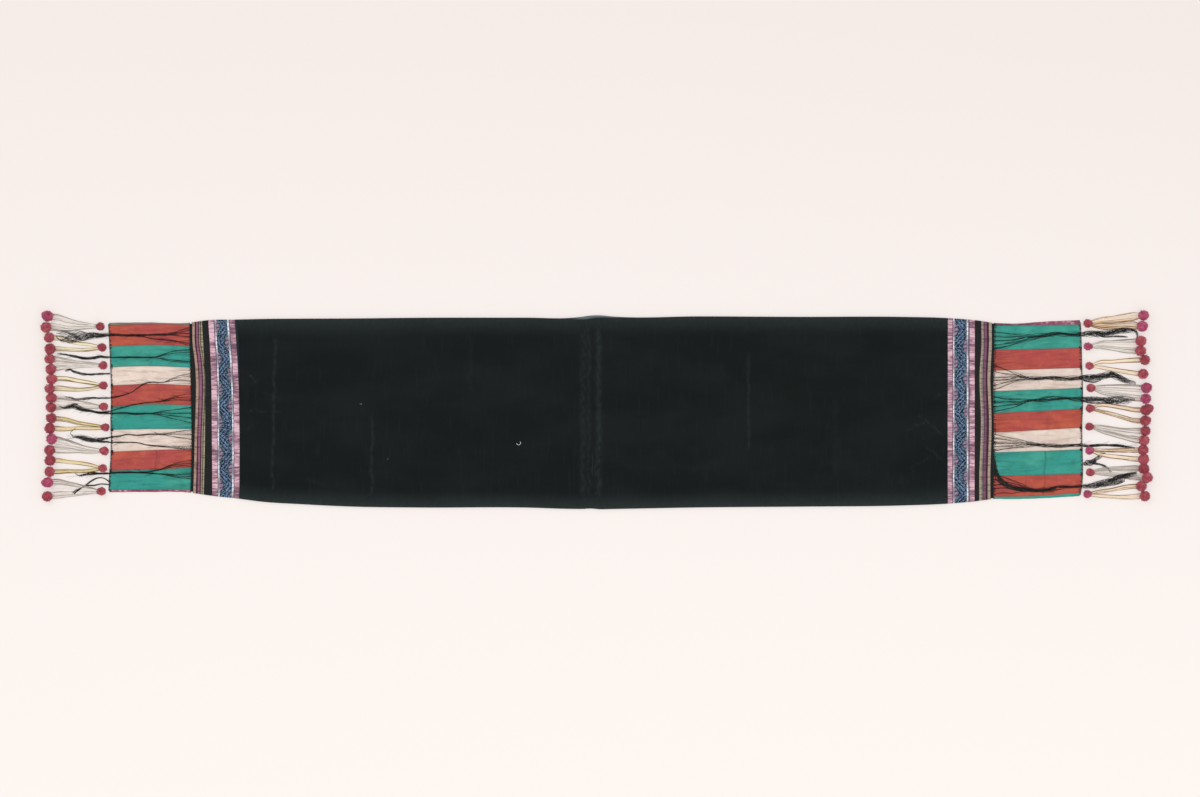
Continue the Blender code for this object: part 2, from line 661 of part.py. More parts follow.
def black_height(px, side):
    """How high the black threads lie: on the silk, then sinking past the end of the cloth."""
    past_edge = LEFT_EDGE[0][1] - px if side == "left" else px - RIGHT_EDGE[0][1]
    share = min(max(past_edge / BLACK_SINK_PX, 0.0), 1.0)
    return BLACK_HEIGHT_ON_SILK + (BLACK_HEIGHT_AT_TIP - BLACK_HEIGHT_ON_SILK) * share


def build_black_fringe(name, side, silk_line, span, bundles, material, parent):
    """A narrow selvedge strip beside the band, with its loose black threads."""
    outward = -1.0 if side == "left" else 1.0
    half_root = BLACK_ROOT_WIDTH / 2
    strands = []
    for first_root, last_root, count, lane in bundles:
        for index in range(count):
            share = index / (count - 1)
            root_py = first_root + (last_root - first_root) * share
            strands.append((root_py, share, lane))
    stations = [to_y(span[0])]
    for root_py, _, _ in strands:
        stations += [to_y(root_py) + half_root, to_y(root_py) - half_root]
    stations.append(to_y(span[1]))
    mesh = bmesh.new()
    rings = []
    for y in stations:
        py = MIDDLE_PY - y / VIEW_SCALE
        outer_x = to_x(read_table(silk_line, py)) - outward * SEAM_GAP
        inner_x = outer_x - outward * SELVEDGE_WIDTH
        section = (
            (outer_x, SELVEDGE_LIP), (outer_x, SELVEDGE_HIGH), (inner_x, SELVEDGE_HIGH),
            (inner_x, SELVEDGE_LOW), (outer_x, SELVEDGE_LOW),
        )
        rings.append([mesh.verts.new((x, y, z)) for x, z in section])
    lips = []
    for first, second in zip(rings, rings[1:]):
        join_rings(mesh, first, second)
        lips.append(mesh.faces.get((first[0], first[1], second[1], second[0])))
    mesh.faces.new(rings[0][::-1])
    mesh.faces.new(rings[-1])
    bmesh.ops.recalc_face_normals(mesh, faces=mesh.faces)
    for (_, share, lane), face in zip(strands, lips[1::2]):
        root = face.calc_center_median() + Vector((outward * BLACK_ROOT_STEP, 0.0, 0.0))
        points = [root]
        for px, py, spread in lane:
            across = py + (share - 0.5) * spread
            points.append(Vector((to_x(px), to_y(across), black_height(px, side))))
        radii = [BLACK_WIDTH / 2] * (len(points) - 1) + [BLACK_TIP_WIDTH / 2]
        grow_strand(mesh, face, points, radii)
    finish_piece(name, mesh, material, parent)


def build_end(side, materials, parent):
    """Everything that belongs to one end: band, silk, edging, black fringe and tassels."""
    is_left = side == "left"
    outward = -1.0 if is_left else 1.0
    edge_line = LEFT_EDGE if is_left else RIGHT_EDGE
    silk_line = LEFT_SILK_END if is_left else RIGHT_SILK_END
    stations = LEFT_SEAM_STATIONS if is_left else RIGHT_SEAM_STATIONS
    seams = LEFT_SEAMS if is_left else RIGHT_SEAMS
    colours = LEFT_STRIP_COLOURS if is_left else RIGHT_STRIP_COLOURS
    band_lines = (LEFT_BAND_EDGE, LEFT_VELVET_SEAM) if is_left else (RIGHT_VELVET_SEAM, RIGHT_BAND_EDGE)
    build_band(f"woven_band_{side}", *band_lines, materials["band"], parent)
    for number, (upper, lower) in enumerate(zip(seams, seams[1:])):
        strip_name = f"silk_strip_{side}_{number + 1}"
        build_strip(strip_name, side, stations, upper, lower, materials[colours[number]], parent)
    fold_colours = ("green", "printed") if is_left else ("printed", "green")
    build_silk_fold(f"silk_fold_{side}_top", side, stations, seams[0], True,
                    materials[fold_colours[0]], parent)
    build_silk_fold(f"silk_fold_{side}_bottom", side, stations, seams[-1], False,
                    materials[fold_colours[1]], parent)
    build_silk_back(f"silk_back_{side}", side, materials["red"], parent)
    build_edging(f"edge_overcast_{side}", edge_line, outward, materials["black"], parent)
    bundles = LEFT_BUNDLES if is_left else RIGHT_BUNDLES
    span = LEFT_FRINGE_SPAN if is_left else RIGHT_FRINGE_SPAN
    build_black_fringe(f"black_fringe_{side}", side, silk_line, span, bundles,
                       materials["black"], parent)
    tassels = LEFT_TASSELS if is_left else RIGHT_TASSELS
    threads = LEFT_THREAD_STATIONS if is_left else RIGHT_THREAD_STATIONS
    for number, row in enumerate(tassels):
        build_tassel(f"tassel_{side}_{number + 1}", row, threads, edge_line, outward,
                     materials["wool"], parent)


def main():
    for old in list(bpy.data.objects):
        bpy.data.objects.remove(old)
    materials = {
        "velvet": make_material("black_velvet", (0.010, 0.014, 0.014), 0.95),
        "band": make_material("woven_band", (0.30, 0.22, 0.28), 0.85),
        "red": make_material("red_silk", (0.46, 0.10, 0.075), 0.55),
        "green": make_material("green_silk", (0.045, 0.32, 0.25), 0.55),
        "cream": make_material("cream_silk", (0.75, 0.64, 0.56), 0.55),
        "printed": make_material("printed_silk", (0.42, 0.12, 0.20), 0.55),
        "black": make_material("black_thread", (0.012, 0.012, 0.012), 0.8),
        "wool": make_material("crimson_wool", (0.38, 0.04, 0.08), 0.95),
    }
    sash = bpy.data.objects.new("sash", None)
    bpy.context.scene.collection.objects.link(sash)
    build_velvet(materials["velvet"], sash)
    build_end("left", materials, sash)
    build_end("right", materials, sash)


main()
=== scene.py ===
import math
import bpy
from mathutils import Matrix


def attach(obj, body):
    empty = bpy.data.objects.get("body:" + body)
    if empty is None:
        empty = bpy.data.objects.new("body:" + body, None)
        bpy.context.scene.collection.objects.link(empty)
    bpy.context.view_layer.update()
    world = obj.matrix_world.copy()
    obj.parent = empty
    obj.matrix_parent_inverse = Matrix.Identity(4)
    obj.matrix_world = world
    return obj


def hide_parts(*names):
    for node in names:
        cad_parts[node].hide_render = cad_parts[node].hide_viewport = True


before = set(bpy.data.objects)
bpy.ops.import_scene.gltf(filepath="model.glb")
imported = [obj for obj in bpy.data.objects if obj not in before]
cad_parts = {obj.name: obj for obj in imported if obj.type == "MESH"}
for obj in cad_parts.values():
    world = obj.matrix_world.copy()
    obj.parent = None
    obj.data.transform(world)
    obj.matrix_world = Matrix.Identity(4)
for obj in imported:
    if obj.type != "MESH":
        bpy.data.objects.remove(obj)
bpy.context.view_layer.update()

from types import SimpleNamespace

import bmesh
import bpy
import numpy as np
from mathutils import Vector, noise

# The plan is measured in view pixels, as in the part: one of them covers VIEW_SCALE of cloth.
VIEW_SCALE = 0.0018
MIDDLE_PX = 596.25
MIDDLE_PY = 410.05
CENTRE_PX = 600.0
CENTRE_PY = 398.5
FRAME_WIDTH = 1200 * VIEW_SCALE
CLOTH_PLANE = 0.004
LENS = 85.0
SENSOR = 36.0
# The lowest place of the cloth and threads, and of the wool.
UNDERSIDE = 0.0001
WOOL_LOWEST = 0.0002

# Cloth tubes: heights on the flat and at the folds, wall, and the distances where points lie round a fold.
VELVET_HEIGHTS = (0.0043, 0.0064)
BAND_HEIGHTS = (0.0034, 0.0042)
TUBE_WALL = 0.0012
LIP_REACH = 0.004
SHOULDER = 0.022
UNDER_COUNT = 11
UPPER_COUNT = 74
ARC_ANGLES = (-72, -48, -24, 0, 24, 48, 72)
ROLL_DISTANCES = (0.0, 0.0015, 0.003, 0.005, 0.0075, 0.0105, 0.014, 0.018, SHOULDER)
# Silk: strips on the face, fold strips and the hidden back.
SEAM_GAP = 0.0003
EDGING_PX = (0.0011 + 2 * SEAM_GAP) / VIEW_SCALE
STRIP_COLUMNS = 118
STRIP_ROWS = 33
STRIP_FOOT = 0.0015
STRIP_SIDE_HEIGHT = 0.0026
STRIP_CROWN = 0.0007
STRIP_HEIGHT_MOST = 0.0040
PUCKERS = 13
SOFT_CREASES = 6
BAND_TO_EDGE_PX = 82
TURN_UNDER = 0.036
FOLD_RADIUS = 0.00145
FOLD_WALL = 0.0010
FOLD_COLUMNS = 90
BACK_ORDER = ("green", "red", "cream", "green", "red", "cream", "green")
BACK_ROWS = 6
BACK_COLUMNS = 40
BACK_HEIGHT = 0.0011
BACK_SEAM = 0.00025
# Threads: px between stitches and between ends of weft, rows along the selvedge and along the edging's core,
# and stray hairs beside each run.
STITCH_STEP = 1.15
WEFT_STEP = 0.8
SELVEDGE_ROWS = 420
CORE_ROWS = 240
HAIRS = 22
# Tassels: radii and tufts of the pompoms, threads of a white tassel and of a yellow one's halves, and heights
# of the threads from the small pompom to the large ones.
LARGE_POMPOM = 0.0096
SMALL_POMPOM = 0.0075
LARGE_TUFTS = 190
SMALL_TUFTS = 130
WHITE_THREADS = 40
YELLOW_THREADS = 13
THREAD_HEIGHTS = (0.0050, 0.0034, 0.0018, 0.0013, 0.0011, 0.0016)

FOLD_LINES = (
    (104, 322.8, 492.4), (150, 322.4, 492.0), (190, 322.7, 492.6), (197, 321.9, 493.4),
    (210, 320.2, 495.6), (238, 319.5, 498.7), (262, 318.9, 501.8), (300, 318.6, 504.2),
    (350, 318.4, 506.6), (420, 317.7, 507.6), (525, 317.6, 507.6), (575, 317.5, 509.0),
    (583, 316.6, 509.0), (590, 315.6, 508.6), (600, 315.3, 509.3), (612, 316.4, 509.1),
    (700, 316.3, 507.5), (800, 316.8, 506.7), (900, 316.8, 505.6), (947, 318.0, 503.8),
    (976, 320.2, 501.4), (996, 323.0, 499.1), (1012, 323.6, 499.2), (1048, 321.4, 498.1),
    (1086, 319.8, 495.8),
)
LEFT_EDGE = (
    (324, 108.0), (335, 108.7), (350, 109.4), (365, 110.1), (385, 110.7), (405, 110.7),
    (420, 110.3), (440, 110.8), (460, 110.2), (475, 109.1), (491, 108.3),
)
LEFT_SILK_END = ((320, 189.5), (366, 190.4), (420, 191.6), (470, 191.4), (495, 190.5))
LEFT_VELVET_SEAM = ((318, 238.0), (374, 239.4), (410, 240.0), (446, 240.2), (500, 240.1))
RIGHT_VELVET_SEAM = ((318, 947.4), (505, 947.2))
RIGHT_SILK_END = ((320, 994.2), (366, 993.8), (396, 993.2), (430, 993.8), (502, 993.4))
RIGHT_EDGE = (
    (322.4, 1081.0), (335, 1081.5), (370, 1082.4), (400, 1083.2), (430, 1082.3), (450, 1082.7),
    (470, 1083.1), (485, 1082.3), (494.8, 1080.7),
)
LEFT_SEAM_STATIONS = (112, 150, 190)
LEFT_SEAMS = (
    (325.2, 324.1, 324.7), (346.3, 344.7, 346.3), (367.0, 366.0, 367.6),
    (385.5, 383.9, 385.2), (406.8, 404.3, 405.2), (429.8, 429.0, 429.1),
    (451.8, 450.2, 449.2), (470.6, 469.6, 467.7), (489.9, 489.6, 490.0),
)
RIGHT_SEAM_STATIONS = (996, 1040, 1081)
RIGHT_SEAMS = (
    (325.6, 325.0, 324.4), (350.0, 349.0, 347.9), (370.5, 369.0, 367.8),
    (391.0, 389.5, 388.0), (413.0, 411.0, 408.8), (432.6, 430.0, 427.7),
    (452.3, 451.0, 449.5), (475.8, 475.0, 474.0), (496.8, 496.0, 493.0),
)
LEFT_STRIP_COLOURS = ("red", "green", "cream", "red", "green", "cream", "red", "green")
RIGHT_STRIP_COLOURS = ("green", "red", "cream", "green", "red", "cream", "green", "red")

# Band stripes: place along the band in its own px, and the px where it lies at five py stations.
LEFT_BAND_STATIONS = (325.0, 345.0, 356.0, 445.0, 490.0)
RIGHT_BAND_STATIONS = (325.0, 342.0, 376.0, 420.0, 474.0)
LEFT_BAND_STRIPES = (
    (194.0, 191.9, 192.2, 193.6, 194.0, 193.0), (194.3, 192.3, 192.6, 194.1, 194.4, 193.3),
    (196.6, 194.5, 194.8, 196.5, 196.8, 195.7), (197.9, 196.2, 196.5, 197.8, 198.0, 197.6),
    (200.0, 197.9, 198.2, 199.9, 200.1, 199.4), (201.1, 198.8, 199.1, 200.9, 201.2, 200.6),
    (202.4, 200.1, 200.4, 202.2, 202.5, 201.8), (203.2, 200.8, 201.1, 203.0, 203.3, 202.5),
    (204.6, 202.1, 203.2, 203.8, 204.8, 203.8), (211.5, 208.4, 209.6, 210.2, 211.8, 212.1),
    (216.9, 213.5, 214.8, 215.6, 217.1, 217.6), (217.5, 214.4, 215.7, 216.4, 217.6, 218.2),
    (218.8, 215.7, 217.0, 217.7, 218.9, 219.4), (232.0, 227.0, 228.6, 229.5, 232.2, 231.8),
    (233.4, 228.7, 230.3, 231.1, 233.5, 233.4), (233.9, 229.6, 231.0, 231.8, 234.0, 234.2),
    (239.2, 234.6, 236.0, 236.8, 239.4, 239.1), (240.0, 238.0, 238.6, 238.9, 240.1, 240.1),
)
LEFT_KINDS = (
    "edge", "tan", "maroon", "magenta", "maroon", "olive", "olive_dark", "olive_light", "black", "pink",
    "mauve_dark", "white", "blue", "white", "mauve_dark", "pink", "teal",
)
RIGHT_BAND_STRIPES = (
    (947.3, 947.4, 947.4, 947.4, 947.3, 947.2), (947.8, 947.9, 947.9, 947.9, 947.8, 947.8),
    (952.3, 952.4, 952.4, 952.3, 952.3, 952.2), (952.9, 953.0, 953.0, 952.9, 952.9, 952.9),
    (954.4, 954.4, 954.4, 954.4, 954.4, 954.4), (966.9, 966.7, 966.8, 966.9, 966.9, 966.9),
    (968.4, 968.3, 968.3, 968.4, 968.4, 968.4), (969.5, 969.5, 969.5, 969.5, 969.5, 969.5),
    (974.6, 974.7, 974.7, 974.6, 974.6, 974.5), (978.9, 980.6, 980.8, 978.9, 980.3, 978.6),
    (979.7, 981.4, 981.6, 979.6, 981.0, 979.3), (981.1, 982.4, 982.6, 981.0, 982.2, 980.9),
    (983.2, 983.7, 983.9, 982.8, 983.9, 982.5), (984.2, 984.2, 984.4, 983.2, 984.4, 982.9),
    (986.5, 986.7, 986.9, 985.8, 986.6, 985.8), (988.0, 988.8, 989.0, 987.5, 989.0, 987.6),
    (990.3, 991.5, 991.7, 990.1, 991.4, 990.1), (990.6, 991.9, 992.1, 990.9, 991.8, 990.7),
)
RIGHT_KINDS = (
    "teal", "pink", "mauve_dark", "white", "blue", "white", "mauve_dark", "pink", "black", "maroon",
    "olive_light", "grey", "maroon", "plum", "maroon", "sand", "edge",
)
STRIPE_COLOURS = {
    "edge": (34, 24, 28), "tan": (172, 144, 128), "sand": (172, 154, 138), "maroon": (60, 30, 42),
    "magenta": (150, 90, 122), "plum": (126, 80, 106), "olive": (150, 137, 120), "olive_dark": (80, 72, 56),
    "olive_light": (168, 160, 130), "black": (17, 19, 20), "pink": (226, 164, 184),
    "mauve_dark": (104, 72, 92), "white": (206, 208, 216), "blue": (50, 70, 105), "teal": (16, 34, 40),
    "grey": (146, 132, 134),
}
# How far the raised stripes stand up, in mm.
STRIPE_RELIEF = {
    "tan": 0.25, "sand": 0.25, "magenta": 0.25, "plum": 0.25, "olive": 0.2, "olive_light": 0.2, "pink": 0.3,
    "white": 0.35, "blue": 0.2, "grey": 0.2,
}
STRIPE_MASKS = {"pink": (1, 0, 0, 1), "white": (0, 1, 0, 1), "blue": (0, 0, 1, 1)}

# Silks: name, seed of its patches, then the main, light, dark, stained and faded tones.
SILKS = {
    "red": ("Silk_Red", 0.0, (172, 70, 56), (192, 88, 64), (104, 34, 42), (198, 98, 66), (174, 66, 72)),
    "green": (
        "Silk_Green", 3.0, (42, 145, 129), (60, 160, 143), (10, 78, 76), (30, 122, 112), (34, 150, 140),
    ),
    "dull": (
        "Silk_Green_Dull", 7.0, (116, 112, 98), (134, 130, 114), (76, 72, 62), (100, 98, 84), (130, 114, 102),
    ),
    "cream": (
        "Silk_Cream", 5.0, (226, 205, 191), (238, 221, 208), (122, 102, 94), (206, 184, 170), (222, 204, 196),
    ),
}
# Threads: name, roughness, then the dark, middle and light tones. Wools have the same without roughness.
THREADS = {
    "black": ("Thread_Black", 0.75, (10, 11, 12), (26, 28, 28), (66, 68, 64)),
    "white": ("Thread_White", 0.7, (146, 137, 128), (230, 221, 212), (255, 251, 246)),
    "yellow_left": ("Thread_Yellow", 0.7, (136, 108, 44), (238, 214, 148), (255, 250, 230)),
    "yellow_right": ("Thread_Gold", 0.7, (146, 102, 38), (232, 190, 124), (255, 246, 232)),
}
WOOLS = {
    "crimson": ("Wool_Crimson", (90, 20, 38), (164, 68, 80), (214, 128, 140)),
    "magenta": ("Wool_Magenta", (104, 26, 60), (174, 72, 106), (214, 132, 162)),
}

# Columns along the velvet, close together where it is creased or wrinkled: first px, last px and step.
VELVET_STRETCHES = (
    (240.0, 245, 1.2), (245, 285, 0.55), (285, 366, 3.0), (366, 378, 0.6), (378, 578, 3.0), (578, 606, 0.42),
    (606, 742, 3.0), (742, 754, 0.6), (754, 900, 3.0), (900, 946, 0.6), (946, 947.2, 0.6),
)
# Creases: px at the upper fold, px at the lower fold, first and last py, height in mm, width in px, painted
# sheen.
VELVET_LINES = (
    (583.2, 582.6, 300, 520, 0.3, 3.4, 0.11), (588.6, 588.2, 300, 520, 0.4, 2.0, 0.10),
    (598.2, 598.0, 300, 520, 0.4, 3.0, 0.15), (600.4, 599.4, 430, 520, 0.3, 1.8, 0.09),
    (586.2, 586.2, 403, 418, 0.4, 0.7, 0.24), (589.2, 589.2, 405, 417, 0.4, 0.7, 0.16),
    (592.6, 592.6, 452, 480, 0.4, 0.8, 0.20), (595.4, 595.2, 458, 484, 0.4, 0.8, 0.18),
    (592.6, 592.0, 330, 440, -0.3, 1.6, 0.0), (275.2, 271.6, 334, 500, 0.5, 1.5, 0.13),
    (372.6, 371.4, 414, 503, 0.4, 1.5, 0.12), (748.6, 747.8, 350, 452, 0.4, 1.5, 0.10),
    (470, 469, 330, 400, 0.2, 2.4, 0.05), (835, 836, 395, 480, 0.25, 2.2, 0.06),
)
# Short wrinkles: px and py of both ends, height in mm, width in px, paleness of the painted sheen.
VELVET_WRINKLES = (
    (598, 413, 608, 409, 0.4, 0.8, 0.16), (600, 417, 607, 415, 0.3, 0.8, 0.12),
    (247, 372, 258, 384, 0.5, 0.9, 0.26), (246, 410, 284, 412, 0.5, 0.8, 0.24),
    (250, 384, 262, 379, 0.4, 0.8, 0.22), (262, 392, 283, 400, 0.4, 0.9, 0.18),
    (244, 430, 256, 424, 0.4, 0.8, 0.18), (906, 430, 930, 420, 0.5, 0.9, 0.24),
    (918, 414, 944, 436, 0.5, 0.9, 0.24), (926, 446, 945, 462, 0.5, 0.9, 0.22),
    (908, 468, 934, 456, 0.4, 0.9, 0.18), (930, 400, 946, 392, 0.4, 0.9, 0.18),
    (300, 478, 330, 486, 0.3, 1.4, 0.08), (690, 470, 720, 462, 0.3, 1.4, 0.07),
)
# Crosswise creases of the silk strips: side, number, px, width in px and depth, which also sets their painted
# shade.
STRIP_CREASES = (
    ("left", 7, 156.0, 1.0, 0.5), ("left", 7, 158.4, 0.8, 0.3), ("right", 7, 1045.0, 0.8, 0.55),
    ("right", 8, 1044.0, 0.8, 0.5), ("right", 8, 1025.0, 0.8, 0.4),
)

# Black threads. Each run: its roots' py, the px where they have closed up, how many threads each root has
# beside its first, twist in px, and the lane (px, py, width) from the silk end to the tip.
LEFT_RUNS = (
    ((327.5, 330, 333.5, 336.5), 168, 2, 26, (
        (190, 334.4, 2.4), (176, 334.4, 2.4), (162, 334.6, 2.2), (148, 335.0, 2.0), (134, 335.3, 2.2),
        (120, 335.0, 2.4), (108, 334.6, 3.0), (97, 334.8, 4.4), (89, 335.8, 5.6), (80, 337.2, 8.0),
        (72, 337.0, 9.0), (65, 337.0, 9.0), (59, 335.8, 6.0))),
    ((340, 343, 345.5), 176, 1, 30, (
        (190, 342.6, 1.6), (178, 341.4, 1.5), (166, 339.8, 1.3), (152, 338.6, 1.2), (142, 336.4, 1.3),
        (130, 335.8, 1.4), (112, 335.2, 1.6), (98, 336.6, 2.4), (90, 337.6, 3.0))),
    ((349.6, 352.5), 160, 2, 40, (
        (190, 351.0, 1.4), (182, 351.6, 1.4), (166.6, 354.2, 1.2), (153, 357.2, 1.1), (130, 357.0, 1.1),
        (110.8, 357.6, 1.4), (100, 356.8, 2.2), (94, 358.0, 2.2), (85.5, 358.4, 2.2), (74, 356.4, 2.0),
        (66.6, 354.8, 1.7), (57, 353.4, 1.0))),
    ((361.4, 363.4), 160, 2, 40, (
        (190, 361.6, 1.4), (182, 360.4, 1.3), (166.6, 359.2, 1.2), (153, 357.8, 1.1), (130, 357.4, 1.1),
        (110.8, 357.2, 1.4), (100, 356.4, 1.8), (94, 357.6, 2.0), (85.5, 358.2, 2.0), (74, 356.2, 1.8),
        (66.6, 354.6, 1.5), (58, 353.6, 1.0))),
    ((373.8, 376.5, 381.0), 164, 2, 34, (
        (190, 377.0, 1.6), (182.4, 378.2, 1.5), (171.8, 380.4, 1.4), (161.3, 382.4, 1.2), (150.8, 382.2, 1.1),
        (144.5, 383.6, 1.1), (138.2, 387.5, 1.1), (129.7, 393.1, 1.2), (119.2, 396.2, 1.2),
        (111.3, 397.8, 1.4), (98.2, 398.0, 1.8), (87.6, 398.4, 2.0), (77.1, 399.4, 2.0), (70.8, 397.8, 1.6),
        (64.5, 396.4, 1.0))),
    ((393.8, 396.6, 400.5), 160, 2, 30, (
        (190, 397.0, 1.6), (182.4, 398.0, 1.5), (166.6, 400.6, 1.2), (150.8, 402.4, 1.0), (135, 404.2, 1.0),
        (124.5, 407.2, 1.1), (113, 410.4, 1.2), (104, 412.2, 1.3), (95, 411.8, 1.2), (86, 410.6, 1.4),
        (76, 409.0, 1.6))),
    ((407.4, 413.2, 417.9, 422.6), 150, 2, 36, (
        (190, 414.0, 2.0), (178, 413.6, 2.0), (161.3, 413.2, 1.8), (150.8, 413.4, 1.7), (135, 413.9, 1.6),
        (124.5, 413.0, 1.6), (110.8, 413.2, 1.9), (98, 412.4, 2.4), (87.6, 410.5, 2.8), (80.3, 408.6, 3.6),
        (75, 406.8, 4.8), (70.8, 406.0, 5.0), (66, 406.6, 3.0))),
    ((430.0, 434.2, 439.5), 160, 2, 30, (
        (190, 434.2, 1.5), (172, 434.2, 1.4), (162, 434.2, 1.3), (150.8, 434.2, 1.2), (138, 435.2, 1.2),
        (127.6, 434.4, 1.2), (119, 436.2, 1.3), (110.8, 437.2, 1.7), (103.4, 438.8, 2.6), (96, 440.0, 4.0),
        (87.6, 439.0, 4.6), (79.2, 436.9, 4.2), (72.0, 436.0, 2.6))),
    ((445.8, 448.0, 449.2), 156, 2, 34, (
        (190, 447.8, 1.4), (180, 447.2, 1.3), (161, 446.3, 1.2), (148.7, 445.0, 1.4), (138, 442.8, 1.2),
        (124.5, 442.5, 1.2), (113, 442.0, 1.3), (103.4, 441.8, 2.0), (96, 440.6, 2.8), (88, 439.6, 3.6),
        (80, 437.4, 3.4), (73, 436.4, 2.2))),
    ((460.5, 463.5, 466.5), 160, 2, 36, (
        (190, 463.8, 1.5), (182, 465.0, 1.5), (171.8, 467.0, 1.4), (161, 469.5, 1.2), (145.5, 471.9, 1.1),
        (119, 472.2, 1.2), (108, 473.6, 1.5), (98, 473.2, 1.7), (91.8, 472.6, 1.8), (85.5, 474.5, 1.8),
        (79.2, 475.6, 1.6), (75, 473.2, 0.8))),
    ((473.7, 476.4, 478.6), 162, 2, 36, (
        (190, 476.2, 1.4), (182, 475.8, 1.4), (171.8, 474.9, 1.2), (156, 473.7, 1.0), (140, 472.7, 1.0),
        (119, 472.8, 1.2), (108, 473.2, 1.4), (99, 473.6, 1.5), (92, 474.4, 1.5), (84, 475.2, 1.0))),
)
# Loose threads: a third of their number, twist in px, wander, and the lane.
LEFT_LOOSE = (
    (8, 18, 0.5, ((110.0, 373.6, 1.4), (98.2, 374.1, 2.2), (91.8, 374.5, 2.2), (82.4, 374.0, 2.6),
                  (77.1, 372.7, 2.8), (72.9, 371.2, 2.4), (69.7, 369.6, 2.2), (65.0, 371.0, 1.4))),
    (6, 22, 0.45, (
        (110.4, 483.0, 0.8), (107.4, 480.2, 1.2), (103.4, 478.0, 1.4), (98.2, 477.9, 1.6), (94, 479.5, 1.6),
        (89.7, 482, 1.6), (85.5, 485.3, 1.8), (80.3, 488.4, 1.9), (75, 491.4, 2.2), (72.5, 493.0, 1.2))),
    (6, 22, 0.45, (
        (110.4, 484.8, 0.8), (107.0, 484.4, 1.2), (100.3, 484.0, 1.2), (94, 485.4, 1.4), (87.6, 485.6, 1.6),
        (82.4, 487.6, 1.6), (77, 491.0, 1.4), (74, 494.0, 1.0))),
    (2, 16, 0.6, ((94, 333.6, 2.6), (82, 332.8, 4.2), (72, 333.6, 4.6), (63, 332.4, 3.4), (56, 333.4, 1.2))),
    (2, 14, 0.6, ((94, 338.0, 2.4), (82.4, 339.4, 3.6), (75, 341.0, 4.2), (68, 341.8, 3.2), (62, 341.2, 2.4),
                  (57.4, 338.0, 1.6), (56.0, 335.6, 1.0))),
    (5, 12, 0.6, ((78, 404.0, 1.0), (73, 404.6, 3.0), (69, 407.0, 3.6), (64, 408.0, 1.6), (59, 406.0, 1.0))),
    (1, 20, 0.3, ((73.0, 436.2, 0.6), (70.0, 433.0, 0.6), (72.8, 430.4, 0.6), (75.4, 428.0, 0.4))),
)
RIGHT_RUNS = (
    ((332, 336.5, 341, 345.5, 349), 1042, 2, 34, (
        (994, 338.6, 3.2), (1018, 337.6, 3.2), (1030, 336.8, 3.2), (1045, 334.9, 3.4), (1060, 334.2, 3.4),
        (1078, 334.0, 3.8), (1086, 334.2, 4.8), (1096, 333.8, 5.0), (1108, 332.8, 4.4), (1120, 331.0, 4.6),
        (1130, 330.0, 4.4), (1137, 331.6, 2.6))),
    ((365, 371.5, 377, 381, 385.5, 390), 1026, 2, 36, (
        (994, 377.6, 3.4), (1012, 377.8, 3.4), (1024, 378.0, 3.2), (1034, 378.2, 3.0), (1060, 378.4, 3.4),
        (1078, 378.0, 3.8), (1086, 377.8, 4.6), (1096, 377.4, 5.2), (1106, 375.2, 5.0), (1112, 374.6, 6.0),
        (1119, 377.8, 5.4), (1127, 381.0, 4.0), (1136, 382.8, 2.4))),
    ((397, 402, 407, 412), 1030, 2, 34, (
        (994, 403.6, 3.0), (1012, 402.2, 3.0), (1028, 401.0, 3.2), (1038, 400.2, 3.2), (1050, 398.6, 3.6),
        (1078, 399.0, 3.4), (1086, 399.2, 3.6), (1096, 399.6, 4.6), (1108, 400.0, 5.2), (1122, 400.4, 6.2),
        (1135, 400.2, 3.8))),
    ((434, 438.5, 443, 447, 451), 1036, 2, 34, (
        (994, 443.6, 3.0), (1012, 443.8, 3.0), (1026, 444.2, 3.0), (1038, 444.8, 2.8), (1060, 446.0, 2.6),
        (1078, 445.0, 2.4), (1088, 445.8, 2.2), (1100, 445.2, 2.0), (1112, 445.2, 2.0), (1125, 446.4, 1.8),
        (1135, 447.8, 1.0))),
    ((474, 479.5, 484.5, 489), 1030, 2, 38, (
        (994, 482.0, 4.4), (1006, 485.6, 4.2), (1018, 488.6, 4.4), (1030, 490.0, 4.4), (1045, 490.0, 4.0),
        (1060, 487.8, 3.2), (1078, 486.2, 3.0), (1088, 486.0, 3.6), (1098, 484.6, 5.2), (1108, 481.6, 5.4),
        (1120, 477.6, 5.0), (1137, 474.2, 3.0))),
)
